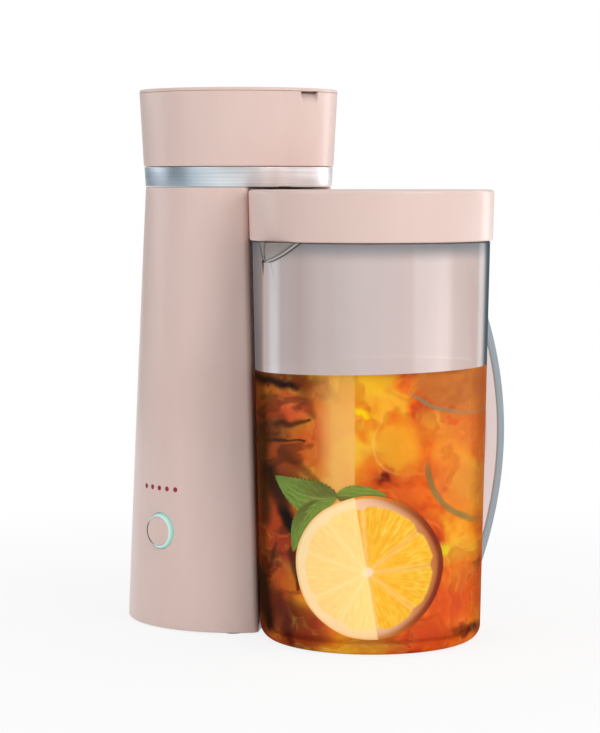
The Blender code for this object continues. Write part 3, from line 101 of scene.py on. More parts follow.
# A mesh object from points and sets of faces, each set a table of point numbers.
def addPiece(name, points, faceSets, materials, slots=None, smoothAngle=sharpAngle):
    points = np.asarray(points, float).reshape(-1, 3)
    faceSets = [np.asarray(f) for f in faceSets if len(f)]
    loops = np.concatenate([f.ravel() for f in faceSets]).astype(np.int32)
    sizes = np.concatenate([np.full(len(f), f.shape[1]) for f in faceSets])
    starts = (np.cumsum(sizes) - sizes).astype(np.int32)
    mesh = bpy.data.meshes.new(name)
    mesh.vertices.add(len(points))
    mesh.vertices.foreach_set("co", points.astype(np.float32).ravel())
    mesh.loops.add(len(loops))
    mesh.loops.foreach_set("vertex_index", loops)
    mesh.polygons.add(len(sizes))
    mesh.polygons.foreach_set("loop_start", starts)
    for material in materials if isinstance(materials, list) else [materials]:
        mesh.materials.append(material)
    mesh.update(calc_edges=True)
    mesh.validate()
    if slots is not None:
        mesh.polygons.foreach_set("material_index", np.asarray(slots, np.int32))
    mesh.shade_smooth()
    mesh.set_sharp_from_angle(angle=math.radians(smoothAngle))
    return addObject(name, mesh)


# Puts a piece on a body and hides the nodes that it stands for; the slot's name is not used.
def place(piece, body, slotName, *nodes):
    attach(piece, body)
    if nodes:
        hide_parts(*nodes)
    return piece


# One pair of pattern values for each point, copied to every corner that uses the point.
def setUv(piece, uv):
    layer = piece.data.uv_layers.new(name="UVMap")
    corners = np.zeros(len(piece.data.loops), np.int32)
    piece.data.loops.foreach_get("vertex_index", corners)
    layer.data.foreach_set("uv", np.asarray(uv, np.float32)[corners].ravel())


# A number for each point, which a material reads by its name.
def setMask(piece, name, values):
    layer = piece.data.attributes.new(name, "FLOAT", "POINT")
    layer.data.foreach_set("value", np.asarray(values, np.float32).ravel())


# A profile of (radius, height, rounding) corners: each is cut back by its rounding and bridged by a
# curve that pulls from one side to the other through the corner.
def filleted(corners, steps=5):
    path = np.array([c[:2] for c in corners], float)
    rounding = [c[2] if len(c) > 2 else 0.0 for c in corners]
    made = []
    t = span(0, 1, steps + 1)[:, None]
    for i in range(len(path)):
        if rounding[i] <= 0 or i in (0, len(path) - 1):
            made.append(path[i:i + 1])
            continue
        before = path[i] + (path[i - 1] - path[i]) / np.linalg.norm(path[i - 1] - path[i]) * rounding[i]
        after = path[i] + (path[i + 1] - path[i]) / np.linalg.norm(path[i + 1] - path[i]) * rounding[i]
        made.append((1 - t) ** 2 * before + 2 * t * (1 - t) * path[i] + t ** 2 * after)
    return np.concatenate(made)


# A profile of (radius, height) carried round an upright axis: radius times the cosine and sine of the
# turn. An end on the axis is closed to one point, and a closed profile is a ring.
def turned(name, profile, centre, materials, steps=240, closed=False, smoothAngle=sharpAngle):
    profile = np.asarray(profile, float)
    onAxis = profile[:, 0] < onAxisRadius
    body = profile[~onAxis]
    turn = span(0, math.tau, steps + 1)[:-1]
    x = centre[0] + body[:, :1] * np.cos(turn)
    y = centre[1] + body[:, :1] * np.sin(turn)
    z = np.repeat(body[:, 1:], steps, axis=1)
    points = np.stack([x, y, z], axis=-1).reshape(-1, 3)
    faces = [gridFaces(len(body), steps, True, closed)]
    count = len(points)
    if onAxis[0]:
        points = np.vstack([points, [[*centre, profile[0, 1]]]])
        faces.append(capFaces(np.arange(steps), count, True))
        count += 1
    if onAxis[-1]:
        points = np.vstack([points, [[*centre, profile[-1, 1]]]])
        faces.append(capFaces(np.arange(steps) + (len(body) - 1) * steps, count, False))
    return addPiece(name, points, faces, materials, smoothAngle=smoothAngle)


# An outline of (x, z) points carried along Y from low to high, drawn in towards its middle by a
# quarter round at both ends, and closed by two flat faces.
def extruded(name, outline, low, high, edge, materials, steps=3):
    outline = np.asarray(outline, float)
    turn = span(0, math.pi / 2, steps + 1)
    inset = edge * (1 - np.sin(turn))
    along = edge * (1 - np.cos(turn))
    levels = np.concatenate([low + along, high - along[::-1]])
    insets = np.concatenate([inset, inset[::-1]])
    ahead, behind = np.roll(outline, -1, 0) - outline, outline - np.roll(outline, 1, 0)
    ahead /= np.linalg.norm(ahead, axis=1)[:, None]
    behind /= np.linalg.norm(behind, axis=1)[:, None]
    inward = np.stack([-(ahead + behind)[:, 1], (ahead + behind)[:, 0]], axis=1)
    inward /= np.maximum(np.linalg.norm(inward, axis=1), 1e-9)[:, None]
    flat = outline[None] + inward[None] * insets[:, None, None]
    level = np.repeat(levels[:, None], len(outline), axis=1)
    points = np.stack([flat[..., 0], level, flat[..., 1]], axis=-1)
    rows, cols = level.shape
    first, last = np.arange(cols)[None], np.arange(cols)[None, ::-1] + (rows - 1) * cols
    return addPiece(name, points, [gridFaces(rows, cols)[:, ::-1], first, last], materials)


# How far points lie to the right of an upright axis, as the jug's front is seen.
def rightOf(x, y, points):
    return (points[:, 1] - y) * math.cos(viewTurn) - (points[:, 0] - x) * math.sin(viewTurn)


# Cuts pieces out of a piece, keeps the result as its mesh and removes the cutters.
def carved(piece, *cutters):
    for cutter in cutters:
        cut = piece.modifiers.new("cut", "BOOLEAN")
        cut.object = cutter
        cut.solver = "EXACT"
    bpy.context.view_layer.update()
    mesh = bpy.data.meshes.new_from_object(piece.evaluated_get(bpy.context.evaluated_depsgraph_get()))
    piece.modifiers.clear()
    piece.data = mesh
    mesh.set_sharp_from_angle(angle=math.radians(sharpAngle))
    for cutter in cutters:
        bpy.data.objects.remove(cutter)
    return piece


# A plain round upright bar, used to cut holes.
def rod(name, centre, radius, low, high):
    return turned(name, [(0, low), (radius, low), (radius, high), (0, high)], centre, [], 64)


# Points on an arc: the centre plus the radius times the cosine and sine of the turn.
def roundTo(centre, radius, start, end, steps):
    turn = span(math.radians(start), math.radians(end), steps)
    return np.stack([centre[0] + radius * np.cos(turn), centre[1] + radius * np.sin(turn)], axis=1)


# Shader maths: a socket that can be written in sums
class Wire:
    def __init__(self, shader, socket):
        self.shader, self.socket = shader, socket

    def __add__(self, other): return self.shader.math("ADD", self, other)
    def __radd__(self, other): return self.shader.math("ADD", other, self)
    def __sub__(self, other): return self.shader.math("SUBTRACT", self, other)
    def __rsub__(self, other): return self.shader.math("SUBTRACT", other, self)
    def __mul__(self, other): return self.shader.math("MULTIPLY", self, other)
    def __rmul__(self, other): return self.shader.math("MULTIPLY", other, self)
    def __truediv__(self, other): return self.shader.math("DIVIDE", self, other)
    def __rtruediv__(self, other): return self.shader.math("DIVIDE", other, self)
    def __pow__(self, other): return self.shader.math("POWER", self, other)
    def __neg__(self): return self.shader.math("MULTIPLY", self, -1.0)


# A material, or the world, under construction.
class Finish:
    def __init__(self, name, owner=None):
        self.material = owner or bpy.data.materials.new(name)
        self.material.use_nodes = True
        self.tree = self.material.node_tree
        self.tree.nodes.clear()
        self.point = self.node("ShaderNodeTexCoord", out="Object")

    # Adds a node: its settings first, then its inputs, and gives the named output or outputs.
    def node(self, kind, settings=None, values=None, out=0):
        made = self.tree.nodes.new(kind)
        for key, value in (settings or {}).items():
            if key == "stops":
                ramp = made.color_ramp
                while len(ramp.elements) < len(value):
                    ramp.elements.new(0.5)
                for element, (position, colour) in zip(ramp.elements, value):
                    element.position, element.color = position, colour
            else:
                setattr(made, key, value)
        for key, value in (values or {}).items():
            if isinstance(value, Wire):
                self.tree.links.new(value.socket, made.inputs[key])
            else:
                made.inputs[key].default_value = value
        if isinstance(out, tuple):
            return [Wire(self, made.outputs[key]) for key in out]
        return Wire(self, made.outputs[out]) if made.outputs else None

    def math(self, operation, first, second=None, third=None, clamp=False):
        values = {i: v for i, v in enumerate((first, second, third)) if v is not None}
        return self.node("ShaderNodeMath", {"operation": operation, "use_clamp": clamp}, values)

    def axes(self, vector=None):
        return self.node("ShaderNodeSeparateXYZ", None, {0: vector or self.point}, (0, 1, 2))

    def vector(self, x, y, z):
        return self.node("ShaderNodeCombineXYZ", None, {0: x, 1: y, 2: z})

    # A smooth rise from first to last as value goes from low to high.
    def step(self, value, low, high, first=0.0, last=1.0):
        return self.node("ShaderNodeMapRange", {"interpolation_type": "SMOOTHSTEP"},
                         {"Value": value, "From Min": low, "From Max": high, "To Min": first,
                          "To Max": last})

    def noise(self, vector, scale, detail=2.0, roughness=0.5, out="Fac"):
        return self.node("ShaderNodeTexNoise", None, {"Vector": vector or self.point, "Scale": scale,
                                                      "Detail": detail, "Roughness": roughness}, out)

    def cells(self, vector, scale, feature="F1", out="Distance", chance=1.0):
        return self.node("ShaderNodeTexVoronoi", {"feature": feature},
                         {"Vector": vector or self.point, "Scale": scale, "Randomness": chance}, out)

    def stretched(self, x, y, z):
        return self.node("ShaderNodeMapping", None, {"Vector": self.point, "Scale": (x, y, z)})

    def mix(self, share, first, second, blend="MIX"):
        return self.node("ShaderNodeMix", {"data_type": "RGBA", "blend_type": blend},
                         {0: share, 6: first, 7: second}, 2)

    def ramp(self, value, stops):
        return self.node("ShaderNodeValToRGB", {"stops": stops}, {0: value})

    def mask(self, name):
        return self.node("ShaderNodeAttribute", {"attribute_name": name}, None, "Fac")

    # A vector times a share, plus another vector.
    def weigh(self, vector, share, other):
        return self.node("ShaderNodeVectorMath", {"operation": "MULTIPLY_ADD"},
                         {0: vector, 1: (share, share, share), 2: other})

    # The distance of a vector from a spot, after each axis is scaled.
    def reach(self, vector, spot, scale):
        moved = self.node("ShaderNodeVectorMath", {"operation": "SUBTRACT"}, {0: vector, 1: spot})
        sized = self.node("ShaderNodeVectorMath", {"operation": "MULTIPLY"}, {0: moved, 1: scale})
        return self.node("ShaderNodeVectorMath", {"operation": "LENGTH"}, {0: sized}, "Value")

    def bump(self, height, strength, distance):
        return self.node("ShaderNodeBump", None,
                         {"Height": height, "Strength": strength, "Distance": distance})

    def facing(self, blend=0.5):
        return self.node("ShaderNodeLayerWeight", None, {"Blend": blend}, "Facing")

    def end(self, surface, kind="ShaderNodeOutputMaterial"):
        self.node(kind, None, {"Surface": surface})
        return self.material

    # Ends the material in one surface shader with these socket values.
    def coat(self, values):
        return self.end(self.node("ShaderNodeBsdfPrincipled", None, values))


# A colour of 0 to 255 screen values as linear light.
def rgb(red, green, blue):
    share = np.array([red, green, blue]) / 255
    light = np.where(share <= 0.04045, share / 12.92, ((share + 0.055) / 1.055) ** 2.4)
    return (*light.tolist(), 1.0)


# A ramp's stops from places along it and screen values.
def stopsOf(tones):
    return [(at, rgb(*colour)) for at, colour in tones]


# Finishes
# Moulded plastic: a slow drift of tone, faint flow marks, a fine satin grain, and painted shade where the
# piece's shade mask is set.
def mouldedPlastic(name, colour, deep, roughness, coat=0.0):
    f = Finish(name)
    drift = f.noise(None, 14.0, 3.0)
    flow = f.noise(f.stretched(1.0, 1.0, 0.35), 120.0, 4.0, 0.6)
    grain = f.noise(None, 2600.0, 2.0, 0.6)
    base = f.mix(f.step(drift * 0.7 + flow * 0.3, 0.3, 0.72), colour, deep)
    # painted shade: darker brown as far as the shade mask says
    base = f.mix(f.mask("shade"), base, rgb(74, 60, 54))
    rough = roughness + (flow - 0.5) * 0.07 + (grain - 0.5) * 0.05
    return f.coat({"Base Color": base, "Roughness": rough, "Coat Weight": coat, "Coat Roughness": 0.12,
                   "Normal": f.bump(grain * 0.6 + flow * 0.4, 0.05, 0.00012)})


# Metal brushed round the band: noise drawn out sideways into long fine lines, over painted reflections whose
# tones go from cool to warm with the turn about the tower's axis.
def brushedMetal(name, tones, roughness, fine):
    f = Finish(name)
    x, y, _ = f.axes()
    turn = f.math("ARCTAN2", y - towerY, x - towerX)
    lines = f.noise(f.stretched(16.0, 16.0, fine), 1.0, 4.0, 0.72)
    wide = f.noise(f.stretched(5.0, 5.0, fine * 0.18), 1.0, 2.0, 0.5)
    # painted reflections, set by the turn round the tower
    base = f.ramp(turn / math.tau + 0.5, stopsOf(tones))
    base = f.mix(f.step(lines * 0.7 + wide * 0.3, 0.36, 0.66) * 0.5, base, rgb(150, 160, 168))
    return f.coat({"Base Color": base, "Metallic": 1.0, "Roughness": roughness + (lines - 0.5) * 0.22,
                   "Normal": f.bump(lines, 0.16, 0.00006)})


# Cast or rolled metal: two sizes of grain with darker pits.
def grainedMetal(name, colour, deep, roughness, scale):
    f = Finish(name)
    grain = f.noise(None, scale, 5.0, 0.65)
    pits = f.step(f.cells(None, scale * 1.6), 0.02, 0.22)
    base = f.mix(f.step(grain, 0.35, 0.68) * pits, deep, colour)
    return f.coat({"Base Color": base, "Metallic": 1.0, "Roughness": roughness + (grain - 0.5) * 0.2,
                   "Normal": f.bump(grain * pits, 0.35, 0.0002)})


# Rubber: a dusty bloom over a fine pebbled skin.
def softRubber(name, colour, deep):
    f = Finish(name)
    bloom = f.noise(None, 55.0, 4.0, 0.6)
    pebble = f.cells(None, 1500.0)
    return f.coat({"Base Color": f.mix(f.step(bloom, 0.35, 0.75), colour, deep),
                   "Roughness": 0.72 + (bloom - 0.5) * 0.2, "Normal": f.bump(pebble, 0.3, 0.0002)})


# Circuit board: green mask over squared copper tracks, with tinned pads in rows.
def boardFinish():
    f = Finish("boardGreen")
    x, _, z = f.axes()
    tracks = f.cells(f.vector(x * 260.0, 0.0, z * 260.0), 1.0, "F1", "Distance", 0.35)
    track = f.step(f.math("ABSOLUTE", tracks - 0.42), 0.03, 0.06)
    pads = f.step(f.cells(f.vector(x * 394.0, 0.0, z * 394.0), 1.0, "F1", "Distance", 0.0), 0.26, 0.3)
    weave = f.noise(None, 900.0, 2.0)
    green = f.mix(track, rgb(38, 128, 70), rgb(16, 84, 46))
    sparse = f.step(f.noise(f.vector(x * 60.0, 0.0, z * 60.0), 1.0), 0.5, 0.54)
    base = f.mix((1 - pads) * sparse, f.mix(weave * 0.3, green, rgb(70, 150, 90)), rgb(205, 206, 200))
    return f.coat({"Base Color": base, "Metallic": (1 - pads) * sparse * 0.8,
                   "Roughness": 0.42 - track * 0.08,
                   "Normal": f.bump(1 - track * 0.5 + (1 - pads) * 0.5, 0.3, 0.0002)})


# A lit lamp: its own colour, brighter in cloudy patches.
def glowing(name, colour, deep, strength, roughness):
    f = Finish(name)
    cloud = f.noise(None, 220.0, 3.0)
    grain = f.noise(None, 3000.0, 1.0)
    base = f.mix(f.step(cloud, 0.3, 0.7), deep, colour)
    return f.coat({"Base Color": base, "Roughness": roughness + (grain - 0.5) * 0.08, "Emission Color": base,
                   "Emission Strength": strength, "Normal": f.bump(grain, 0.05, 0.00008)})


# The button's light guide: nearly white at its inner edge, mint outside, and grey with painted shade on its
# far side.
def lightGuide(name):
    f = Finish(name)
    x, _, z = f.axes()
    across, up = x - (towerX + button["x"]), z - button["z"]
    far = f.math("SQRT", across ** 2.0 + up ** 2.0)
    cloud = f.noise(None, 260.0, 3.0)
    tone = f.mix(f.step(far, 0.0090, 0.0104), rgb(226, 246, 241), rgb(150, 219, 208))
    tone = f.mix(cloud * 0.25, tone, rgb(180, 232, 224))
    # painted shade on the guide's far side
    tone = f.mix(f.step(across + up * 0.25, -0.0040, -0.0078), tone, rgb(118, 110, 108))
    return f.coat({"Base Color": tone, "Roughness": 0.25 + (cloud - 0.5) * 0.1, "Emission Color": tone,
                   "Emission Strength": 0.16})


# The steel band's painted reflections round the tower, as tones at shares of a whole turn: the front is from
# 0.24 to 0.6.
steelReflectionTones = [
    (0.0, (206, 214, 220)), (0.12, (206, 216, 224)), (0.20, (228, 238, 246)), (0.24, (194, 206, 216)),
    (0.272, (174, 190, 202)), (0.295, (200, 214, 224)), (0.335, (242, 250, 254)), (0.38, (240, 240, 242)),
    (0.43, (204, 186, 180)), (0.475, (255, 246, 244)), (0.50, (248, 238, 236)), (0.60, (238, 232, 232)),
    (0.75, (214, 216, 220)), (1.0, (206, 214, 220))]
blush = mouldedPlastic("blushPlastic", rgb(236, 209, 200), rgb(232, 204, 194), 0.33, 0.15)
blushInner = mouldedPlastic("blushPlasticInner", rgb(228, 200, 190), rgb(221, 192, 182), 0.46)
milky = mouldedPlastic("milkyPlastic", rgb(234, 234, 231), rgb(222, 223, 221), 0.38)
switchBlack = mouldedPlastic("switchPlastic", rgb(38, 38, 40), rgb(26, 26, 28), 0.4)
silicone = mouldedPlastic("silicone", rgb(218, 221, 221), rgb(202, 206, 207), 0.55)
steel = brushedMetal("brushedSteel", steelReflectionTones, 0.34, 5200.0)
fastener = grainedMetal("fastenerSteel", rgb(198, 202, 206), rgb(150, 154, 160), 0.32, 900.0)
casting = grainedMetal("castAluminium", rgb(196, 198, 200), rgb(140, 143, 147), 0.5, 420.0)
rubber = softRubber("blackRubber", rgb(34, 33, 34), rgb(58, 56, 57))
board = boardFinish()
redLamp = glowing("redLamp", rgb(146, 16, 50), rgb(92, 8, 30), 0.22, 0.3)
redRim = glowing("redLampRim", rgb(196, 84, 100), rgb(176, 64, 82), 0.05, 0.3)


# The jug's front as a drawing, in its own units: across it, out of it and up it.
def frontAxes(f):
    x, y, z = f.axes()
    x, y = (x - jugX) / drawUnit, (y - jugY) / drawUnit
    across = y * math.cos(viewTurn) - x * math.sin(viewTurn)
    outward = x * math.cos(viewTurn) + y * math.sin(viewTurn)
    return across, outward, z / drawUnit


# Soft patches of the tea's front: place across and up, half width and half height, share, colour.
teaPatches = [
    (-0.86, 1.40, 0.46, 1.70, 0.85, (176, 58, 28)), (-0.70, 2.19, 0.26, 0.17, 0.90, (222, 92, 48)),
    (-0.54, 1.82, 0.28, 0.32, 0.75, (222, 96, 40)), (-0.80, 0.90, 0.17, 0.26, 0.90, (164, 56, 32)),
    (-0.45, 0.28, 0.20, 0.30, 0.80, (222, 100, 38)), (0.04, 2.42, 0.26, 0.13, 1.00, (253, 196, 40)),
    (0.26, 1.86, 0.28, 0.28, 0.85, (252, 178, 44)), (0.02, 1.62, 0.16, 0.28, 0.50, (242, 116, 36)),
    (0.33, 1.42, 0.22, 0.18, 0.60, (246, 124, 38)), (0.62, 1.98, 0.22, 0.18, 0.70, (248, 156, 44)),
    (0.86, 1.50, 0.26, 0.24, 0.65, (228, 146, 54)), (0.80, 1.90, 0.26, 0.16, 0.55, (238, 118, 42)),
    (0.45, 1.16, 0.20, 0.14, 0.60, (240, 108, 36)), (0.76, 0.86, 0.24, 0.14, 0.80, (230, 164, 44)),
    (0.66, 0.42, 0.30, 0.26, 0.80, (232, 92, 34)), (0.80, 0.62, 0.22, 0.12, 0.60, (224, 114, 36)),
    (0.05, 0.09, 0.36, 0.10, 0.80, (206, 138, 52)), (0.60, 0.12, 0.36, 0.12, 0.60, (206, 78, 28)),
    (-0.64, 0.10, 0.30, 0.14, 0.80, (142, 50, 24)), (-0.05, 2.15, 0.10, 0.05, 1.00, (255, 222, 12)),
    (0.63, 0.90, 0.11, 0.07, 1.00, (232, 208, 40)), (0.78, 0.96, 0.14, 0.04, 0.80, (240, 190, 60)),
    (0.69, 2.04, 0.12, 0.035, 0.85, (238, 66, 30)), (0.46, 2.36, 0.07, 0.12, 0.70, (244, 76, 30)),
    (-0.44, 2.34, 0.19, 0.20, 0.90, (188, 96, 42)), (-0.58, 0.20, 0.26, 0.26, 0.85, (150, 48, 28)),
    (0.44, 0.14, 0.24, 0.12, 0.70, (226, 84, 36)), (-0.66, 2.14, 0.22, 0.14, 0.80, (230, 94, 48)),
    (0.52, 2.10, 0.16, 0.12, 0.80, (238, 158, 54)), (-0.42, 2.02, 0.12, 0.22, 0.80, (236, 106, 50)),
    (-0.70, 2.42, 0.34, 0.14, 0.80, (84, 32, 14)), (-0.86, 1.95, 0.17, 0.20, 0.70, (104, 54, 22)),
    (-0.76, 1.46, 0.24, 0.24, 0.75, (96, 50, 20)), (-0.76, 0.30, 0.26, 0.24, 0.85, (92, 28, 12)),
    (0.88, 0.17, 0.20, 0.07, 1.00, (70, 22, 10)), (0.95, 0.72, 0.05, 0.07, 0.90, (84, 30, 12)),
    (0.14, 1.58, 0.17, 0.11, 0.75, (196, 60, 24)), (0.13, 1.58, 0.09, 0.055, 1.00, (108, 22, 13))]


# Dark leaves and shadows in it: the two ends, across and up, half the width, share and colour.
teaStrokes = [
    (-1.02, 2.40, -0.66, 2.35, 0.075, 1.00, (36, 14, 6)),
    (-0.62, 2.40, -0.50, 2.10, 0.07, 0.60, (116, 46, 20)),
    (-0.84, 1.99, -0.53, 2.06, 0.046, 0.90, (70, 36, 14)),
    (-0.93, 1.84, -0.58, 1.88, 0.022, 0.90, (50, 30, 12)),
    (-0.80, 1.75, -0.40, 1.49, 0.062, 0.65, (92, 44, 18)),
    (-0.98, 1.92, -0.93, 1.12, 0.110, 0.75, (84, 52, 20)),
    (-0.90, 1.56, -0.74, 1.12, 0.100, 0.90, (34, 22, 9)),
    (-0.76, 1.20, -0.64, 0.94, 0.075, 1.00, (16, 8, 4)),
    (-0.70, 0.88, -0.63, 0.55, 0.045, 0.85, (48, 20, 9)),
    (-0.98, 0.56, -0.90, 0.16, 0.130, 0.95, (30, 12, 7)),
    (-0.84, 0.46, -0.70, 0.06, 0.080, 0.80, (92, 28, 16)),
    (-0.90, 0.70, -0.84, 0.92, 0.030, 0.70, (70, 32, 14))]


teaTones = [(0.36, (186, 56, 18)), (0.46, (222, 84, 26)), (0.53, (238, 108, 26)), (0.62, (244, 142, 30)),
            (0.70, (249, 172, 40)), (0.80, (254, 206, 60))]


# How far a point of the drawing lies from an oval's middle: 1 on the oval's rim.
def oval(f, vector, across, height, wide, tall):
    return f.reach(vector, (across, 0, height), (1 / wide, 0, 1 / tall))


# The tea's colours, which its body and the wetted wall share: a warped cloud of amber and rust with
# folds in it, soft patches laid over it, dark strokes, and the rims of two lime slices.
def teaColour(f):
    u, w, h = frontAxes(f)
    depth = w * 0.4
    flat = f.vector(u, depth, h)
    bend = f.noise(flat, 2.3, 3.0, 0.55, "Color")
    curl = f.noise(flat, 5.5, 3.0, 0.55, "Color")
    warped = f.weigh(bend, 0.9, flat)
    soft = f.weigh(curl, 0.20, f.weigh(bend, 0.14, f.vector(u - 0.17, depth, h - 0.17)))
    cloud = f.noise(warped, 1.7, 3.0, 0.45)
    fine = f.noise(warped, 6.0, 3.0, 0.55)
    glow = cloud * 0.98 + fine * 0.14 + (1 - f.cells(warped, 2.2)) * 0.14 - 0.03
    base = f.ramp(glow, stopsOf(teaTones))
    front = f.step(w, -0.45, -0.2)  # the drawing stays off the jug's far side
    for across, height, wide, tall, share, colour in teaPatches:
        far = oval(f, soft, across, height, wide, tall)
        base = f.mix(f.step(far, 0.3, 1.05, share, 0.0) * front, base, rgb(*colour))
    # folds and grain, pale on one side and rusty on the other
    fold = f.math("FRACT", f.noise(warped, 1.1, 1.0) * 6.0)
    base = f.mix(f.step(fold, 0.30, 1.0) * 0.20, base, rgb(160, 44, 14))
    base = f.mix(f.step(fold, 0.20, 0.0) * 0.10, base, rgb(255, 206, 96))
    grain = f.noise(f.weigh(bend, 1.2, flat), 5.0, 3.0, 0.55)
    base = f.mix(f.step(grain, 0.46, 0.32) * 0.16, base, rgb(150, 44, 14))
    base = f.mix(f.step(grain, 0.58, 0.74) * 0.20, base, rgb(255, 204, 84))
    shadeSide = f.step(u, -0.34, -0.62)
    stroke = f.noise(f.vector(u * 1.5 + h * 0.8, depth, h * 3.2 - u * 1.2), 1.35, 3.0, 0.55)
    base = f.mix(f.step(stroke, 0.56, 0.62) * shadeSide * front * 0.6, base, rgb(60, 30, 12))
    # dark leaves: the gap to the nearest point of each stroke's line, against its tapering width
    softU, _, softH = f.axes(f.weigh(curl, 0.10, f.vector(u - 0.05, depth, h - 0.05)))
    for fromU, fromH, toU, toH, wide, share, colour in teaStrokes:
        runU, runH = toU - fromU, toH - fromH
        square = runU ** 2 + runH ** 2
        along = f.math("MULTIPLY", (softU - fromU) * runU + (softH - fromH) * runH, 1 / square, clamp=True)
        gapU, gapH = softU - fromU - along * runU, softH - fromH - along * runH
        gap = f.math("SQRT", gapU * gapU + gapH * gapH) / (1 - along * 0.5)
        base = f.mix(f.step(gap, wide * 0.2, wide * 1.4, share, 0.0) * front, base, rgb(*colour))
    # two lime slices, with a filled inside and a rim, and the edge of an ice cube
    ring = f.weigh(curl, 0.03, flat)
    over = oval(f, ring, 0.915, 2.99, 0.865, 0.865)
    inside = f.step(over, 1.0, 0.92) * f.step(u, 0.28, 0.46)
    base = f.mix(inside * front * 0.74, base, f.mix(fine, rgb(166, 92, 38), rgb(222, 146, 66)))
    rim = f.step(f.math("ABSOLUTE", over - 1.0), 0.030, 0.012) * f.step(u, 0.30, 0.40)
    base = f.mix(rim * front * 0.75, base, rgb(146, 134, 92))
    under = oval(f, ring, 1.09, 1.718, 0.579, 0.579)
    base = f.mix(f.step(under, 1.0, 0.9) * front * 0.3, base, rgb(228, 150, 62))
    rim = f.step(f.math("ABSOLUTE", under - 1.0), 0.066, 0.020)
    rim = rim * f.step(h, 1.76, 1.58) * f.step(u, 1.04, 0.86)
    base = f.mix(rim * front * 0.85, base, f.mix(fine, rgb(108, 106, 50), rgb(160, 142, 82)))
    ice = oval(f, ring, 0.285, 1.885, 0.25, 0.27)
    rim = f.step(f.math("ABSOLUTE", ice - 1.0), 0.07, 0.0) * f.step(u, 0.34, 0.10) * f.step(h, 2.16, 1.95)
    base = f.mix(rim * front * 0.35, base, rgb(255, 206, 110))
    # small bubbles, and painted shade darkening the tea towards both sides of the jug
    bubble = f.step(f.cells(None, 420.0), 0.16, 0.10) * f.step(f.noise(None, 40.0), 0.5, 0.6)
    base = f.mix(bubble * 0.4, base, rgb(130, 50, 16))
    base = f.mix(f.step(u + (fine - 0.5) * 0.10, -0.86, -0.97) * 0.75, base, rgb(44, 24, 10))
    base = f.mix(f.step(u + (fine - 0.5) * 0.10, 0.86, 1.0) * 0.65, base, rgb(146, 62, 24))
    return base, u, h, front


# A painted stripe of a window's reflected light in the tea: soft on its left, sharp on its right, where its
# edge leans to the right below the leaves.
def stripe(f, across, height, leftLow=-0.52, leftHigh=-0.30):
    lean = f.math("MAXIMUM", 1.4 - height, 0.0) * 0.166 - 0.139
    return f.step(across, leftLow, leftHigh) * f.step(across - lean, -0.006, 0.006, 1.0, 0.0)


# Painted upright bands of reflected light and shade on the dry wall, from the drawing's left edge to its
# right.
jugBands = [
    (0.0, (150, 138, 136)), (0.014, (160, 146, 142)), (0.025, (226, 208, 204)), (0.040, (226, 211, 208)),
    (0.061, (248, 243, 245)), (0.085, (246, 240, 242)), (0.104, (218, 205, 203)), (0.19, (210, 191, 187)),
    (0.278, (223, 207, 204)), (0.365, (219, 204, 200)), (0.452, (225, 209, 206)), (0.626, (226, 206, 203)),
    (0.672, (228, 206, 201)), (0.700, (240, 221, 217)), (0.80, (252, 232, 228)), (0.835, (250, 229, 224)),
    (0.865, (227, 205, 198)), (0.95, (210, 185, 180)), (1.0, (200, 190, 188))]


# The jug's outer skin: a smoky tint that thickens where the wall is seen edge on, painted shade and
# highlights at the lip, a painted shadow under the lid and painted bands. Where tea wets the wall, its colour
# reaches the edge.
def clearWall():
    f = Finish("clearPlastic")
    teaTone, u, _, front = teaColour(f)
    z = f.axes()[2]
    edge = f.facing(0.5)
    rim = f.step(edge, 0.63, 0.82)
    creaseShade = f.mask("crease")
    dry = f.step(z - u * teaSlant, teaLine - 0.0002, teaLine + 0.0002)
    haze = f.noise(f.stretched(1.0, 1.0, 0.25), 60.0, 3.0)
    # painted reflections: upright bands of light and shade, on the front only
    bands = f.ramp((u + 1) / 2, stopsOf(jugBands))
    tone = f.mix(front, rgb(214, 198, 194), bands)
    tone = f.mix(f.step(haze, 0.3, 0.7) * 0.25, tone, rgb(214, 200, 197))
    # painted shadow under the lid's rim
    underLid = f.step(z, 0.2195, 0.2305) * f.step(u, -0.2, 0.8, 0.78, 0.92)
    tone = f.mix(underLid, tone, rgb(130, 136, 142))
    tone = f.mix(rim * f.step(u, 0.0, 0.3, 0.4, 1.0), tone, rgb(72, 86, 94))
    # painted shade inside the spout's V, painted dark lines along its creases and painted highlights beside
    # them
    tone = f.mix(f.mask("lip") * 0.7, tone, rgb(166, 154, 148))
    tone = f.mix(creaseShade, tone, rgb(40, 38, 40))
    tone = f.mix(f.mask("gleam"), tone, rgb(236, 232, 230))
    tone = f.mix(dry, teaTone, tone)
    wetAlpha = f.step(edge, 0.40, 0.62) * 0.97 + f.step(z, 0.0095, 0.0060) * 0.97
    dryAlpha = 0.80 + rim * 0.16 + creaseShade * 0.6
    alpha = 0.03 + dry * (dryAlpha - wetAlpha) + wetAlpha
    return f.coat({"Base Color": tone, "Roughness": 0.09 + (haze - 0.5) * 0.05, "IOR": 1.49,
                   "Specular IOR Level": 0.0, "Coat Weight": dry * (1 - rim) * 0.42 + 0.03,
                   "Coat Roughness": 0.06, "Alpha": f.math("MINIMUM", alpha, 1.0)})


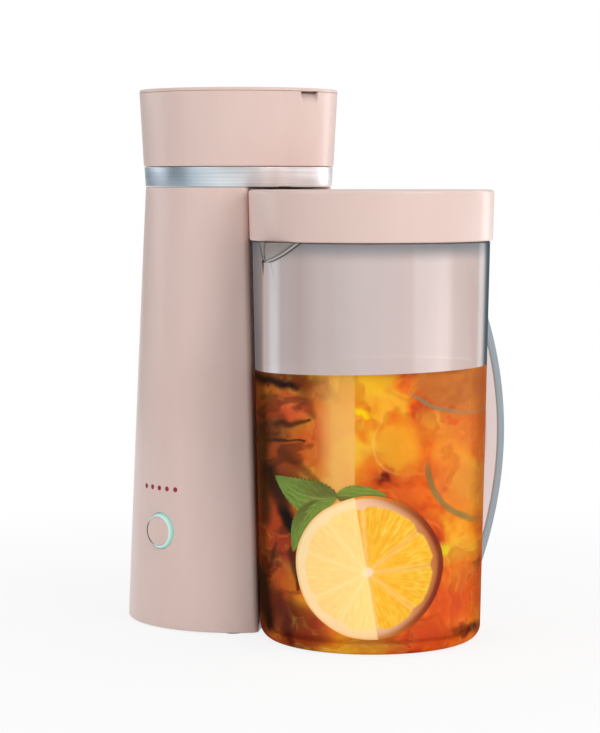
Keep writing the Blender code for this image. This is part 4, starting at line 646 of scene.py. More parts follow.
# A skin of clear plastic in its own depth of tint, denser where it is seen edge on, with a painted glow of
# its own.
def clearInside(name, colour, alphaBase, alphaEdge, roughness=0.06, glow=0.0):
    f = Finish(name)
    edge = f.step(f.facing(0.5), 0.55, 0.95)
    haze = f.noise(None, 70.0, 2.0)
    tone = f.mix(edge * 0.5, colour, rgb(150, 160, 168))
    return f.coat({"Base Color": tone, "Roughness": roughness + haze * 0.03, "IOR": 1.49,
                   "Specular IOR Level": 0.06, "Emission Color": tone, "Emission Strength": glow,
                   "Alpha": alphaBase + edge * alphaEdge + (haze - 0.5) * 0.02})


jugSkin = clearWall()
jugInside = clearInside("clearPlasticInner", rgb(228, 216, 212), 0.012, 0.10)
# the strap's faces and edges give off a painted glow
strapFace = clearInside("clearStrapFace", rgb(222, 228, 232), 0.60, 0.1, 0.06, 0.34)
strapEdge = clearInside("clearStrapEdge", rgb(146, 160, 168), 0.9, 0.05, 0.1, 0.05)
print("finishes ready")


# Tower body: a flared drum with a round hollow for the jug
tower = {"low": 0.001, "waist": 0.262, "footRadius": 0.068, "waistRadius": 0.0562, "swell": 0.0003,
         "dockLow": 0.0653, "dockHigh": 0.07315, "corner": 0.0040, "innerCorner": 0.0006, "wall": 0.0025,
         "edge": 0.0009, "outerSteps": 230, "dockSteps": 84, "cornerSteps": 7,
         "rowsBelow": (0.006, 0.044, 10), "rowsBetween": (0.0765, 0.0790, 2),
         "rowsAbove": (0.090, 0.2585, 36)}
button = {"x": -0.0040, "z": 0.0585, "radius": 0.0106, "capRadius": 0.0085, "rise": 0.0020, "gap": 0.0003,
          "depth": 0.0050, "capDepth": 0.0040, "margin": 0.0022, "rows": 19}
lamps = {"x": -0.0056, "z": 0.0839, "step": 0.0065, "radius": 0.00115, "count": 5, "gap": 0.0003,
         "depth": 0.0040, "rimDepth": 0.0030, "margin": 0.00105, "reach": 0.0024, "rows": 6}
gland = {"z": 0.018, "radius": 0.0063, "margin": 0.0025}
axisSpacing = jugX - towerX


# The jug's soft shadow, painted on the tower's front: its left edge at some heights, and how it fades.
jugShade = {"strength": 0.16, "soft": 0.020, "heights": (0.05, 0.15, 0.24), "edge": (-0.020, -0.024, 0.003),
            "fadeHeights": (0.03, 0.11), "fade": (0.25, 1), "cornerLoss": 0.7, "cornerReach": 0.010}


# The radius falls evenly with height, with a small swell that is widest half way up.
def bodyRadius(z):
    share = z / tower["waist"]
    return (tower["footRadius"] + (tower["waistRadius"] - tower["footRadius"]) * share
            + tower["swell"] * 4 * share * (1 - share))


# The tower's outline at each height: an arc about its own axis, an arc about the jug's axis, and
# between them small rounds whose centres lie a corner inside one and outside the other.
def crescent(z, inset, corner):
    z = z[:, None]
    big = bodyRadius(z) - inset[:, None]
    dock = tower["dockLow"] + (tower["dockHigh"] - tower["dockLow"]) * z / tower["waist"] + inset[:, None]
    tipX = ((big - corner) ** 2 - (dock + corner) ** 2 + axisSpacing ** 2) / (2 * axisSpacing)
    tipY = np.sqrt((big - corner) ** 2 - tipX ** 2)
    tipTurn = np.arctan2(tipY, tipX)
    dockTurn = np.arctan2(tipY, axisSpacing - tipX)  # seen from the jug, off the line to the tower
    t = span(0, 1, tower["outerSteps"])[None]
    outerTurn = tipTurn + t * (math.tau - 2 * tipTurn)
    outer = np.stack([big * np.cos(outerTurn), big * np.sin(outerTurn)], axis=-1)
    s = span(0, 1, tower["cornerSteps"] + 2)[None, 1:-1]
    sweep = dockTurn + tipTurn  # how far a corner round turns
    firstTurn = -tipTurn + s * sweep
    first = np.stack([tipX + corner * np.cos(firstTurn), -tipY + corner * np.sin(firstTurn)], axis=-1)
    u = span(0, 1, tower["dockSteps"])[None]
    hollowTurn = math.pi + dockTurn * (1 - 2 * u)
    hollow = np.stack([axisSpacing + dock * np.cos(hollowTurn), dock * np.sin(hollowTurn)], axis=-1)
    lastTurn = s * sweep - dockTurn
    last = np.stack([tipX + corner * np.cos(lastTurn), tipY + corner * np.sin(lastTurn)], axis=-1)
    return np.concatenate([outer, first, hollow, last], axis=1)


# Heights with closer rows at the edges, the button and the lamps, and each row's inset.
def towerLevels():
    edge = tower["edge"]
    bend = span(0, math.pi / 2, 5)
    lowRound = tower["low"] + edge * (1 - np.cos(bend))
    highRound = tower["waist"] - edge * 0.7 * (1 - np.sin(bend))
    reach = button["radius"] + button["margin"]
    middle = np.concatenate([span(*tower["rowsBelow"]),
                             span(button["z"] - reach, button["z"] + reach, button["rows"]),
                             span(*tower["rowsBetween"]),
                             span(lamps["z"] - lamps["reach"], lamps["z"] + lamps["reach"], lamps["rows"]),
                             span(*tower["rowsAbove"])])
    z = np.concatenate([lowRound, middle, highRound])
    inset = np.concatenate([edge * (1 - np.sin(bend)), np.zeros(len(middle)),
                            edge * 0.7 * (1 - np.cos(bend))])
    return z, inset


def lampPlace(number):
    return lamps["x"] + (number - 2) * lamps["step"]  # the third lamp is the middle one


# Which of a row of values is closest to a target.
def nearest(values, target):
    return int(np.argmin(np.abs(values - target)))


# Outer and inner walls on one grid. At each hole a block of cells gives way to rings that run from
# the block's border to the circle, and the two walls are joined there and at the rims.
def makeTowerShell():
    z, inset = towerLevels()
    walls = []
    for depth, corner in ((0.0, tower["corner"]), (tower["wall"], tower["innerCorner"])):
        flat = crescent(z, inset * (1 if depth == 0 else 0) + depth, corner)
        walls.append(np.concatenate([flat, np.repeat(z[:, None, None], flat.shape[1], axis=1)], axis=-1))
    rows, cols = walls[0].shape[:2]
    outerX, outerY = walls[0][..., 0], walls[0][..., 1]
    # each hole's place and radius, front (-1) or back (1), its block's margin, and its rings
    holes = [(button["x"], button["z"], button["radius"] + button["gap"], -1, button["margin"], 4)]
    holes += [(lampPlace(i), lamps["z"], lamps["radius"] + lamps["gap"], -1, lamps["margin"], 3)
              for i in range(lamps["count"])]
    holes += [(0.0, gland["z"], gland["radius"], 1, gland["margin"], 3)]
    keep = np.ones((rows - 1, cols), bool)
    points, faces, count = [w.reshape(-1, 3) for w in walls], [], 2 * rows * cols
    for x, height, radius, side, margin, ringCount in holes:
        low, high = nearest(z, height - radius - margin), nearest(z, height + radius + margin)
        front = np.where(outerY[low] * side > 0, outerX[low], 9.0)  # far off on the other side
        ends = sorted((nearest(front, x - radius - margin), nearest(front, x + radius + margin)))
        keep[low:high, ends[0]:ends[1]] = False
        across, up = np.arange(ends[0], ends[1]), np.arange(low, high)
        row = np.concatenate([np.full(len(across), low), up, np.full(len(across), high), up[::-1] + 1])
        col = np.concatenate([across, np.full(len(up), ends[1]), across[::-1] + 1,
                              np.full(len(up), ends[0])])
        rims = []
        for number, wall in enumerate(walls):
            border = wall[row, col]
            turn = np.arctan2(border[:, 2] - height, border[:, 0] - x)
            circle = np.stack([x + radius * np.cos(turn), height + radius * np.sin(turn)], axis=1)
            before = row * cols + col + number * rows * cols
            for share in span(0, 1, ringCount + 1)[1:]:
                flat = border[:, [0, 2]] * (1 - share) + circle * share
                deep = bodyRadius(flat[:, 1]) - number * tower["wall"]
                away = side * np.sqrt(deep ** 2 - flat[:, 0] ** 2)
                ring = np.stack([flat[:, 0], away, flat[:, 1]], axis=1)
                points.append(ring)
                now = np.arange(count, count + len(ring))
                count += len(ring)
                quads = np.stack([before, np.roll(before, -1), np.roll(now, -1), now], axis=1)
                faces.append(quads if number == 0 else quads[:, ::-1])
                before = now
            rims.append(before)
        faces.append(np.stack([rims[0], np.roll(rims[0], -1), np.roll(rims[1], -1), rims[1]], axis=1))
    grid = gridFaces(rows, cols)[keep.ravel()]
    first, last = np.arange(cols), np.arange(cols) + (rows - 1) * cols
    shift = rows * cols
    faces += [grid, grid[:, ::-1] + shift,
              np.stack([np.roll(first, -1), first, first + shift, np.roll(first, -1) + shift], axis=1),
              np.stack([last, np.roll(last, -1), np.roll(last, -1) + shift, last + shift], axis=1)]
    made = np.concatenate(points) + [towerX, towerY, 0.0]
    piece = addPiece("towerBody", made, faces, blush)
    # the jug's shadow is painted on the tower through its shade mask
    across, soft = rightOf(towerX, towerY, made), jugShade["soft"]
    edge = np.interp(made[:, 2], jugShade["heights"], jugShade["edge"])
    shade = np.clip((across - edge + soft / 2) / soft, 0, 1)
    shade *= np.interp(made[:, 2], jugShade["fadeHeights"], jugShade["fade"])
    shade *= 1 - jugShade["cornerLoss"] * np.clip(across / jugShade["cornerReach"], 0, 1)
    setMask(piece, "shade", jugShade["strength"] * shade)
    return place(piece, "tower", "blush_plastic", "tower_shell")


makeTowerShell()


# Ring-lit button and the row of lamps
# How far the front wall lies before the axis: the root of its radius squared less x squared.
def frontDepth(x, z):
    return np.sqrt(bodyRadius(z) ** 2 - x ** 2)


# A profile of (radius, rise, share) round a hole in the front wall. Each point's rise is measured
# from the wall's curved face, or from its flat middle plane, as the share says.
def seated(name, profile, x, z, materials, steps=120):
    profile = np.asarray(profile, float)
    onAxis = profile[:, 0] < onAxisRadius
    body = profile[~onAxis]
    turn = span(0, math.tau, steps + 1)[:-1]
    flatX = x + body[:, :1] * np.cos(turn)
    height = z + body[:, :1] * np.sin(turn)
    middle = frontDepth(x, z)
    face = frontDepth(flatX, height) * body[:, 2:3] + middle * (1 - body[:, 2:3])
    points = np.stack([flatX + towerX, towerY - face - body[:, 1:2], height], axis=-1).reshape(-1, 3)
    faces, count = [gridFaces(len(body), steps, True, not onAxis.any())], len(points)
    for end, ring, flip in ((0, np.arange(steps), True),
                            (-1, np.arange(steps) + (len(body) - 1) * steps, False)):
        if onAxis[end]:
            points = np.vstack([points, [[x + towerX, towerY - middle - profile[end, 1], z]]])
            faces.append(capFaces(ring, count, flip))
            count += 1
    return addPiece(name, points, faces, materials, smoothAngle=30.0)


# The light ring is a low cone from the wall up to its lip, and the cap is a dished disc.
def makeControls():
    mint = lightGuide("mintLightGuide")
    outer, cap, rise = button["radius"], button["capRadius"], button["rise"]
    bore = cap + button["gap"]
    ring = [(bore, -button["depth"], 1), (outer, -button["depth"], 1), (outer, -0.0006, 1),
            (outer, 0.0001, 1), (outer - 0.00012, 0.0003, 1), (bore + 0.0009, rise * 0.60, 0.45),
            (bore + 0.00042, rise * 0.93, 0.05), (bore + 0.00028, rise, 0), (bore + 0.00008, rise, 0),
            (bore, rise - 0.0001, 0)]
    place(seated("lightRing", ring, button["x"], button["z"], mint), "tower", "mint_light_guide",
          "light_ring")
    dish = [(0, -button["capDepth"], 0), (cap, -button["capDepth"], 0), (cap, rise - 0.0005, 0),
            (cap - 0.00008, rise - 0.0002, 0),
            (cap - 0.0003, rise - 0.00003, 0), (cap - 0.0006, rise, 0), (cap - 0.0012, rise - 0.00012, 0),
            (cap * 0.7, rise - 0.00034, 0), (cap * 0.35, rise - 0.00046, 0), (0, rise - 0.0005, 0)]
    place(seated("powerButton", dish, button["x"], button["z"], blush), "power_button", "blush_plastic",
          "power_button")
    r, deep, rimDeep = lamps["radius"], -lamps["depth"], -lamps["rimDepth"]
    lens = [(0, deep, 1), (r * 1.12, deep, 1), (r * 1.12, 0.0001, 1), (r * 1.02, 0.00026, 1),
            (r * 0.66, 0.00042, 1), (r * 0.3, 0.0005, 1), (0, 0.00052, 1)]
    rim = [(r * 1.14, rimDeep, 1), (r * 1.34, rimDeep, 1), (r * 1.34, -0.0001, 1), (r * 1.30, 0.0001, 1),
           (r * 1.20, 0.00012, 1), (r * 1.14, 0.0, 1)]
    for i in range(lamps["count"]):
        number, x = i + 1, lampPlace(i)
        place(seated("lampLens%d" % number, lens, x, lamps["z"], redLamp, 32), "tower", "red_lamp",
              "led_%d" % number)
        place(seated("lampRim%d" % number, rim, x, lamps["z"], redRim, 32), "tower", "red_lamp")


makeControls()
print("tower body and controls made")


# Steel band, head and top lid
head = {"bottom": 0.2623, "low": 0.2742, "high": 0.3180, "lowRadius": 0.0574, "highRadius": 0.0598,
        "wall": 0.0030, "floorEdge": 0.2654, "floorTop": 0.2650, "neck": 0.0538, "neckInner": 0.0512,
        "lowEdge": 0.0007, "highEdge": 0.0003, "cut": (0.255, 0.270), "turns": 241,
        "rowsLow": (0.2752, 0.3075, 12), "rowsHigh": (0.3080, 0.3177, 44), "scoopTurns": (-0.17, 0.17, 121)}
notch = {"width": 0.0142, "depth": 0.0080, "reach": 0.0029, "turn": math.radians(-2.6), "steep": 46,
         "shades": ((0.95, 0.13), (0.42, 0.42)), "shadeAll": 0.16}  # shades: strength, share of the depth
hinge = {"x": -0.0633, "z": 0.3164, "knuckle": 0.0032, "ear": 0.0034, "pin": 0.0013, "play": 0.0003,
         "width": 0.0154, "earWidth": 0.0040, "earHeight": 0.0135, "root": 0.0050, "gap": 0.0003,
         "edge": 0.0005, "armReach": 0.0062, "armTop": 0.3195, "armEdge": 0.0003}
band = {"low": 0.2623, "high": 0.2739, "lowRadius": 0.0564, "highRadius": 0.0570, "gap": 0.0003,
        "edge": 0.0004}
topLid = {"radius": 0.0598, "low": 0.31815, "high": 0.320, "skirt": 0.0562, "skirtInner": 0.0540,
          "skirtLow": 0.3150}
fill = {"x": -0.03355, "radius": 0.0141}
drip = {"x": 0.0450, "radius": 0.0050}
riser = {"x": -0.002, "y": 0.0444, "radius": 0.0039}


# A ring whose two outer edges are rounded, and which widens evenly with height.
def makeBand():
    inner = head["neck"] + band["gap"]
    profile = filleted([(inner, band["low"]), (band["lowRadius"], band["low"], band["edge"]),
                        (band["highRadius"], band["high"], band["edge"]), (inner, band["high"])], 4)
    ring = turned("steelBand", profile, (towerX, towerY), steel, 320, True)
    place(ring, "tower", "brushed_steel", "steel_band")


# The head widens evenly with height.
def headRadius(z):
    share = (z - head["low"]) / (head["high"] - head["low"])
    return head["lowRadius"] + (head["highRadius"] - head["lowRadius"]) * share


# A closed profile carried round the axis. Near the jug's side the outer face is pressed in by a
# scoop for a finger: its depth falls off evenly from the top edge down, and steeply at its sides.
# The painted shade is strongest in the slot right under the lid.
def makeHead():
    wall, low, high = head["wall"], head["low"], head["high"]
    lowZ, highZ = span(*head["rowsLow"]), span(*head["rowsHigh"])
    outer = filleted([(head["neck"], low), (headRadius(low), low, head["lowEdge"]),
                      (headRadius(low + 0.02), low + 0.02)], 5)
    outer = np.vstack([outer[:-1], np.stack([headRadius(lowZ), lowZ], axis=1),
                       np.stack([headRadius(highZ), highZ], axis=1),
                       [(headRadius(high) - head["highEdge"], high)]])
    inner = [(headRadius(high) - wall + 0.0002, high), (headRadius(high) - wall, high - 0.0004),
             (headRadius(low + wall) - wall, low + wall), (head["neckInner"], low),
             (head["neckInner"], head["floorEdge"]), (head["neckInner"] - 0.0006, head["floorTop"]),
             (0, head["floorTop"])]
    profile = np.vstack([[(0, head["bottom"]), (head["neck"], head["bottom"])], outer, inner])
    body = profile[1:-1]
    # even turns, and finer ones at the scoop, without those that lie too close together
    even = np.sort(np.concatenate([span(-math.pi, math.pi, head["turns"])[:-1], span(*head["scoopTurns"])]))
    turn = even[np.concatenate([[True], np.diff(even) > 1e-4])]
    x = body[:, :1] * np.cos(turn + notch["turn"])
    y = body[:, :1] * np.sin(turn + notch["turn"])
    z = np.repeat(body[:, 1:], len(turn), axis=1)
    side = np.abs(turn) * head["highRadius"] / (notch["width"] / 2)
    fall = np.clip((high - z) / notch["depth"], 0, 1)
    away = (side[None] / (1 - 0.10 * fall) - 0.98) * notch["steep"]
    within = 1 / (1 + np.exp(np.minimum(away, 700)))  # beyond 700 it would overflow
    scoop = notch["reach"] * (1 - fall) ** 1.15 * within
    outside = (np.arange(len(body)) >= 1)[:, None] & (body[:, 0] > headRadius(body[:, 1]) - 0.0012)[:, None]
    press = 1 - np.where(outside, scoop, 0) / np.maximum(body[:, :1], 0.01)
    points = np.stack([x * press + towerX, y * press + towerY, z], axis=-1).reshape(-1, 3)
    points = np.vstack([points, [[towerX, towerY, profile[0, 1]], [towerX, towerY, profile[-1, 1]]]])
    piece = addPiece("headShell", points, closedFaces(len(body), len(turn)), blush, smoothAngle=32.0)
    # painted shade in the scoop, darkest in the slot under the lid
    deep = (high - z) / notch["depth"]
    dark = sum(strength * np.exp(-(deep / share) ** 2) for strength, share in notch["shades"])
    shade = np.where(outside, within * (dark + notch["shadeAll"] * np.clip(1 - deep, 0, 1)), 0)
    setMask(piece, "shade", np.concatenate([np.clip(shade, 0, 1).ravel(), [0, 0]]))
    carved(piece, rod("fillCut", (towerX + fill["x"], towerY), fill["radius"], *head["cut"]),
           rod("dripCut", (towerX + drip["x"], towerY), drip["radius"], *head["cut"]),
           rod("riserCut", (towerX + riser["x"], towerY + riser["y"]), riser["radius"], *head["cut"]))
    place(piece, "tower", "blush_plastic", "head_shell")


# Two ears on the head, and between them the lid's arm and knuckle. A round bore along the axis, a
# little wider than the pin, goes through both ears and the knuckle.
def makeHinge():
    x, z = towerX + hinge["x"], hinge["z"]

    def bored(piece, y, reach):
        bore = extruded("pinBore", roundTo((x, z), hinge["pin"] + hinge["play"], 0, 360, 49)[:-1],
                        y - reach, y + reach, 0.0001, blush, steps=1)
        return carved(piece, bore)

    root, half, earHalf = x + hinge["root"], hinge["width"] / 2, hinge["earWidth"] / 2
    outline = np.vstack([[(root, z + 0.0003), (root, z - hinge["earHeight"])],
                         roundTo((x, z), hinge["ear"], 210, 0, 28)])[::-1]
    for number, side in enumerate((-1, 1), start=1):
        y = towerY + side * (half + hinge["gap"] + earHalf)
        ear = extruded("hingeEar%d" % number, outline, y - earHalf, y + earHalf, hinge["edge"], blush)
        place(bored(ear, y, hinge["earWidth"]), "tower", "blush_plastic", "head_shell")
    barrel = extruded("lidKnuckle", roundTo((x, z), hinge["knuckle"], 0, 360, 49)[:-1], towerY - half,
                      towerY + half, hinge["edge"], blush)
    place(bored(barrel, towerY, hinge["width"]), "top_lid", "blush_plastic", "top_lid")
    tip, low, high = x + hinge["armReach"], topLid["low"], hinge["armTop"]
    arm = extruded("lidArm", [(x, low), (tip, low), (tip, high), (x, high)], towerY - half, towerY + half,
                   hinge["armEdge"], blush)
    place(arm, "top_lid", "blush_plastic", "top_lid")


# A thin disc with a skirt under it that drops into the head, as one profile about the axis.
def makeTopLid():
    radius, low, high = topLid["radius"], topLid["low"], topLid["high"]
    skirt, skirtInner, skirtLow = topLid["skirt"], topLid["skirtInner"], topLid["skirtLow"]
    profile = filleted([(0, low), (skirtInner, low, 0.0004), (skirtInner, skirtLow, 0.0004),
                        (skirt, skirtLow, 0.0005), (skirt, low, 0.0002), (radius, low, 0.0002),
                        (radius, high, 0.0010), (0, high)], 6)
    place(turned("topLid", profile, (towerX, towerY), blush, 300), "top_lid", "blush_plastic", "top_lid")


makeBand()
makeHead()
makeHinge()
makeTopLid()
print("band, head and lid made")


# Jug: clear wall with a pouring lip, and its bowed handle
jug = {"footRadius": 0.0641, "topRadius": 0.0687, "high": 0.2311, "wall": 0.0024, "floor": 0.0035,
       "heel": 0.0080, "kick": 0.0012, "footWidth": 0.0070, "spoutTurn": math.radians(-101.5),
       "spoutHalf": math.radians(16.0), "spoutRadius": 0.0770, "spoutDepth": 0.0116,
       "spoutFoot": math.radians(-10.2), "spoutPower": 0.55, "fineTurns": (1.12, 160), "turns": 230,
       "rowsLow": (0.012, 0.198, 34), "rowsHigh": (0.200, 62), "lip": 0.0008}
strap = {"turn": math.radians(78.5), "reach": 0.0975, "middle": 0.115, "bow": 0.3508, "thickness": 0.0055,
         "width": 0.018, "edge": 0.0012, "low": 0.0074, "high": 0.2168, "gap": 0.00015, "rows": 150}
clearSharpAngle = 50.0
# Painted lines of shade and light at the spout: distance from its edge, and half the line's width.
spoutLines = {"edge": 0.00052, "second": (0.0017, 0.00045), "ridge": 0.0008, "gleam": (0.0009, 0.00035),
              "broad": 2.3, "wedge": 0.0017, "wedgeLong": 0.0080, "tail": 0.0006, "tailLong": 0.0160}


# The jug widens evenly with height.
def jugRadius(z):
    return jug["footRadius"] + (jug["topRadius"] - jug["footRadius"]) * z / jug["high"]


# How far the lip stands out. Its ridge leans from the foot of the V to the tip with the rise, and
# falls off evenly to both sides, over widths that grow as the root of the rise.
def spoutBulge(turn, z):
    rise = np.clip((z - (jug["high"] - jug["spoutDepth"])) / jug["spoutDepth"], 0, 1)
    away = (turn + math.pi) % math.tau - math.pi
    power = jug["spoutPower"]
    root = np.maximum(rise, 1e-6) ** power
    foot = jug["spoutFoot"]
    ridge = foot * (1 - rise)
    leftEdge = foot + (-jug["spoutHalf"] - foot) * root
    rightEdge = foot + (jug["spoutHalf"] - foot) * root
    near = np.where(away > ridge, (away - ridge) / np.maximum(rightEdge - ridge, 1e-5),
                    (ridge - away) / np.maximum(ridge - leftEdge, 1e-5))
    slope = power * np.maximum(rise, 0.02) ** (power - 1) * jug["topRadius"] / jug["spoutDepth"]
    leftGap = np.abs(away - leftEdge) / np.hypot(1, slope * (jug["spoutHalf"] + foot))
    rightGap = np.abs(away - rightEdge) / np.hypot(1, slope * (jug["spoutHalf"] - foot))
    edgeGap = np.minimum(leftGap, rightGap) * jug["topRadius"]
    ridgeGap = np.abs(away - ridge) * jug["topRadius"]
    bulge = (jug["spoutRadius"] - jug["topRadius"]) * rise * np.maximum(0, 1 - near)
    return bulge, near, rise, edgeGap, ridgeGap


# A bell-shaped line: 1 at no distance, and next to nothing past twice its width.
def bell(distance, width):
    return np.exp(-(distance / width) ** 2)


# Rings go up the outside and down the inside, on one set of turns with more of them across the spout.
# Masks tell the finish where the spout's edges and ridge run, to paint there lines of shade and of light.
def makeJug():
    heel = jug["heel"]
    quarter = span(-math.pi / 2, 0, 12)
    outHeel = np.stack([jugRadius(heel) - heel + heel * np.cos(quarter),
                        heel + heel * np.sin(quarter)], axis=1)
    foot = outHeel[0, 0] - jug["footWidth"]
    inHeel = heel - jug["wall"]
    inZ = jug["floor"] + inHeel
    back = span(0, -math.pi / 2, 10)
    innerHeel = np.stack([jugRadius(inZ) - jug["wall"] - inHeel + inHeel * np.cos(back),
                          inZ + inHeel * np.sin(back)], axis=1)
    top = jug["high"] - jug["lip"]
    closeFrom, closeRows = jug["rowsHigh"]
    wallZ = np.concatenate([span(*jug["rowsLow"]), span(closeFrom, top, closeRows)])
    rim = span(0, math.pi, 7)[1:-1]
    middle = jugRadius(jug["high"]) - jug["wall"] / 2
    rimRing = np.stack([middle + jug["wall"] / 2 * np.cos(rim), top + jug["lip"] * np.sin(rim)], axis=1)
    outer = np.vstack([[(foot - 0.0010, jug["kick"]), (foot, 0.0002), (foot + 0.0004, 0.0)], outHeel[1:],
                       np.stack([jugRadius(wallZ), wallZ], axis=1)])
    inner = np.vstack([np.stack([jugRadius(wallZ) - jug["wall"], wallZ], axis=1)[::-1], innerHeel])
    profile = np.vstack([outer, rimRing, inner])
    spread, fineTurns = jug["fineTurns"]
    half = jug["spoutHalf"] * spread
    turn = np.concatenate([span(-half, half, fineTurns),
                           span(half, math.tau - half, jug["turns"])[1:-1]])
    bulge, near, rise, edgeGap, ridgeGap = spoutBulge(turn[None], profile[:, 1:2])
    radius = profile[:, :1] + bulge
    x = jugX + radius * np.cos(turn + jug["spoutTurn"])
    y = jugY + radius * np.sin(turn + jug["spoutTurn"])
    z = np.repeat(profile[:, 1:], len(turn), axis=1)
    points = np.stack([x, y, z], axis=-1).reshape(-1, 3)
    steps = len(turn)
    points = np.vstack([points, [[jugX, jugY, jug["kick"]], [jugX, jugY, jug["floor"]]]])
    outside = len(outer) + 2  # the outer skin ends half way over the rim
    slots = np.concatenate([np.repeat((np.arange(len(profile) - 1) >= outside).astype(int), steps),
                            np.zeros(steps, int), np.ones(steps, int)])
    piece = addPiece("pitcherJug", points, closedFaces(len(profile), steps), [jugSkin, jugInside], slots,
                     clearSharpAngle)
    away = (turn[None] + math.pi) % math.tau - math.pi
    foot = jug["high"] - jug["spoutDepth"]
    inside = np.clip(rise * 30, 0, 1) * (z[:, :1] > 0.2)
    lines = spoutLines
    # the side that is seen at a low angle shows its lines broader
    broad = np.where(away < jug["spoutFoot"] * (1 - rise), lines["broad"], 1.0)
    secondAt, second = lines["second"]
    crease = (bell(edgeGap, lines["edge"] * broad)
              + 0.85 * bell(edgeGap - secondAt * broad, second * broad) * (near < 1)
              + 0.8 * bell(ridgeGap, lines["ridge"])) * inside
    # a painted wedge of shade under the spout's foot, and a faint painted tail of shade below its ridge
    below = np.clip((foot - z) / lines["wedgeLong"], 0, 1)
    wedgeGap = np.abs(away - jug["spoutFoot"] + 0.045) * jug["topRadius"]
    wedge = bell(wedgeGap, lines["wedge"] * (1.05 - below)) * (z < foot + 0.001) * (below < 1)
    tailShare = np.clip((foot - z) / lines["tailLong"], 0, 1)
    tailGap = np.abs(away - jug["spoutFoot"] * 0.55 * (1 - tailShare) - 0.01) * jug["topRadius"]
    tail = 0.45 * bell(tailGap, lines["tail"]) * (z < foot) * (1 - tailShare) * (tailShare < 1)
    gleamAt, gleamWide = lines["gleam"]
    gleam = 0.7 * bell(edgeGap - gleamAt * broad, gleamWide * broad) * (near < 1) * inside
    for name, values in (("crease", np.clip(crease + wedge + tail, 0, 1)), ("lip", inside * (near < 1)),
                         ("gleam", gleam * (1 - np.clip(crease, 0, 1)))):
        setMask(piece, name, np.append(values.ravel(), [0, 0]))
    place(piece, "pitcher", "clear_plastic", "pitcher_jug")


# A rounded strap section carried along a parabola: reach less the square of the height from its
# middle, over the bow. What would enter the jug is laid on the jug's wall.
def makeHandle():
    edge = strap["edge"]
    out, side = strap["thickness"] / 2 - edge, strap["width"] / 2 - edge
    quarter = span(0, math.pi / 2, 5)
    corners = [(out, side), (-out, side), (-out, -side), (out, -side)]
    rounds = []
    for n, (x, y) in enumerate(corners):
        turn = quarter + n * math.pi / 2
        rounds.append(np.stack([x + edge * np.cos(turn), y + edge * np.sin(turn)], axis=1))
    # between the rounds come points along the two narrow faces and the two broad ones
    faceSteps = (4, 8, 4, 8)
    section = np.concatenate([part for n in range(4) for part in
                              (rounds[n], span(rounds[n][-1], rounds[(n + 1) % 4][0], faceSteps[n])[1:-1])])
    z = span(strap["low"], strap["high"], strap["rows"])
    slope = 2 * (z - strap["middle"]) / strap["bow"]
    outX = 1 / np.hypot(1, slope)
    outZ = slope * outX
    reach = strap["reach"] - (z - strap["middle"]) ** 2 / strap["bow"]
    depth = section[:, 0] - strap["thickness"] / 2
    radial = reach[:, None] + depth[None] * outX[:, None]
    height = z[:, None] + depth[None] * outZ[:, None]
    tangent = np.repeat(section[None, :, 1], len(z), axis=0)
    radial = np.maximum(radial, np.sqrt(jugRadius(height) ** 2 - tangent ** 2) + strap["gap"])
    c, s = math.cos(strap["turn"]), math.sin(strap["turn"])
    points = np.stack([jugX + radial * c - tangent * s, jugY + radial * s + tangent * c, height], axis=-1)
    rows, cols = height.shape
    faces = [gridFaces(rows, cols), np.arange(cols)[None, ::-1], np.arange(cols)[None] + (rows - 1) * cols]
    sideways = np.abs(section[:, 1] + np.roll(section[:, 1], -1)) / 2 > side - 0.0002
    slots = np.concatenate([np.tile(sideways.astype(int), rows - 1), [1, 1]])
    piece = addPiece("pitcherHandle", points, faces, [strapFace, strapEdge], slots, clearSharpAngle)
    place(piece, "pitcher", "clear_plastic", "pitcher_handle")


makeJug()
makeHandle()


# Pitcher lid: a round cap with the drip hole on the tower's side
pitcherLid = {"low": 0.2314, "high": 0.2606, "lowRadius": 0.07025, "highRadius": 0.07095, "wall": 0.0024,
              "roof": 0.0030, "inlet": 0.0041, "cut": (0.250, 0.265)}


# One profile about the jug's axis, with a thin wall and round edges.
def makePitcherLid():
    low, high, wall = pitcherLid["low"], pitcherLid["high"], pitcherLid["wall"]
    lowRadius, highRadius = pitcherLid["lowRadius"], pitcherLid["highRadius"]
    roof = high - pitcherLid["roof"]
    profile = filleted([(0, roof), (highRadius - wall, roof, 0.0012), (lowRadius - wall, low, 0.0005),
                        (lowRadius, low, 0.0013), (highRadius, high, 0.0023), (0, high)], 9)
    lid = turned("pitcherLid", profile, (jugX, jugY), blush, 320)
    carved(lid, rod("inletCut", (towerX + drip["x"], towerY), pitcherLid["inlet"], *pitcherLid["cut"]))
    place(lid, "pitcher_lid", "blush_plastic", "pitcher_lid")


makePitcherLid()
print("jug, handle and lid made")


# Tea and what floats in it
tea = {"top": teaLine - 0.0005, "gap": 0.0018, "meniscus": 0.0005, "slant": teaSlant, "curl": 0.0036,
       "curlPower": 2.4, "tiltPower": 8, "rows": 60}


# The radius of the jug's inner wall at a height.
def wallInside(z):
    return jugRadius(z) - jug["wall"]


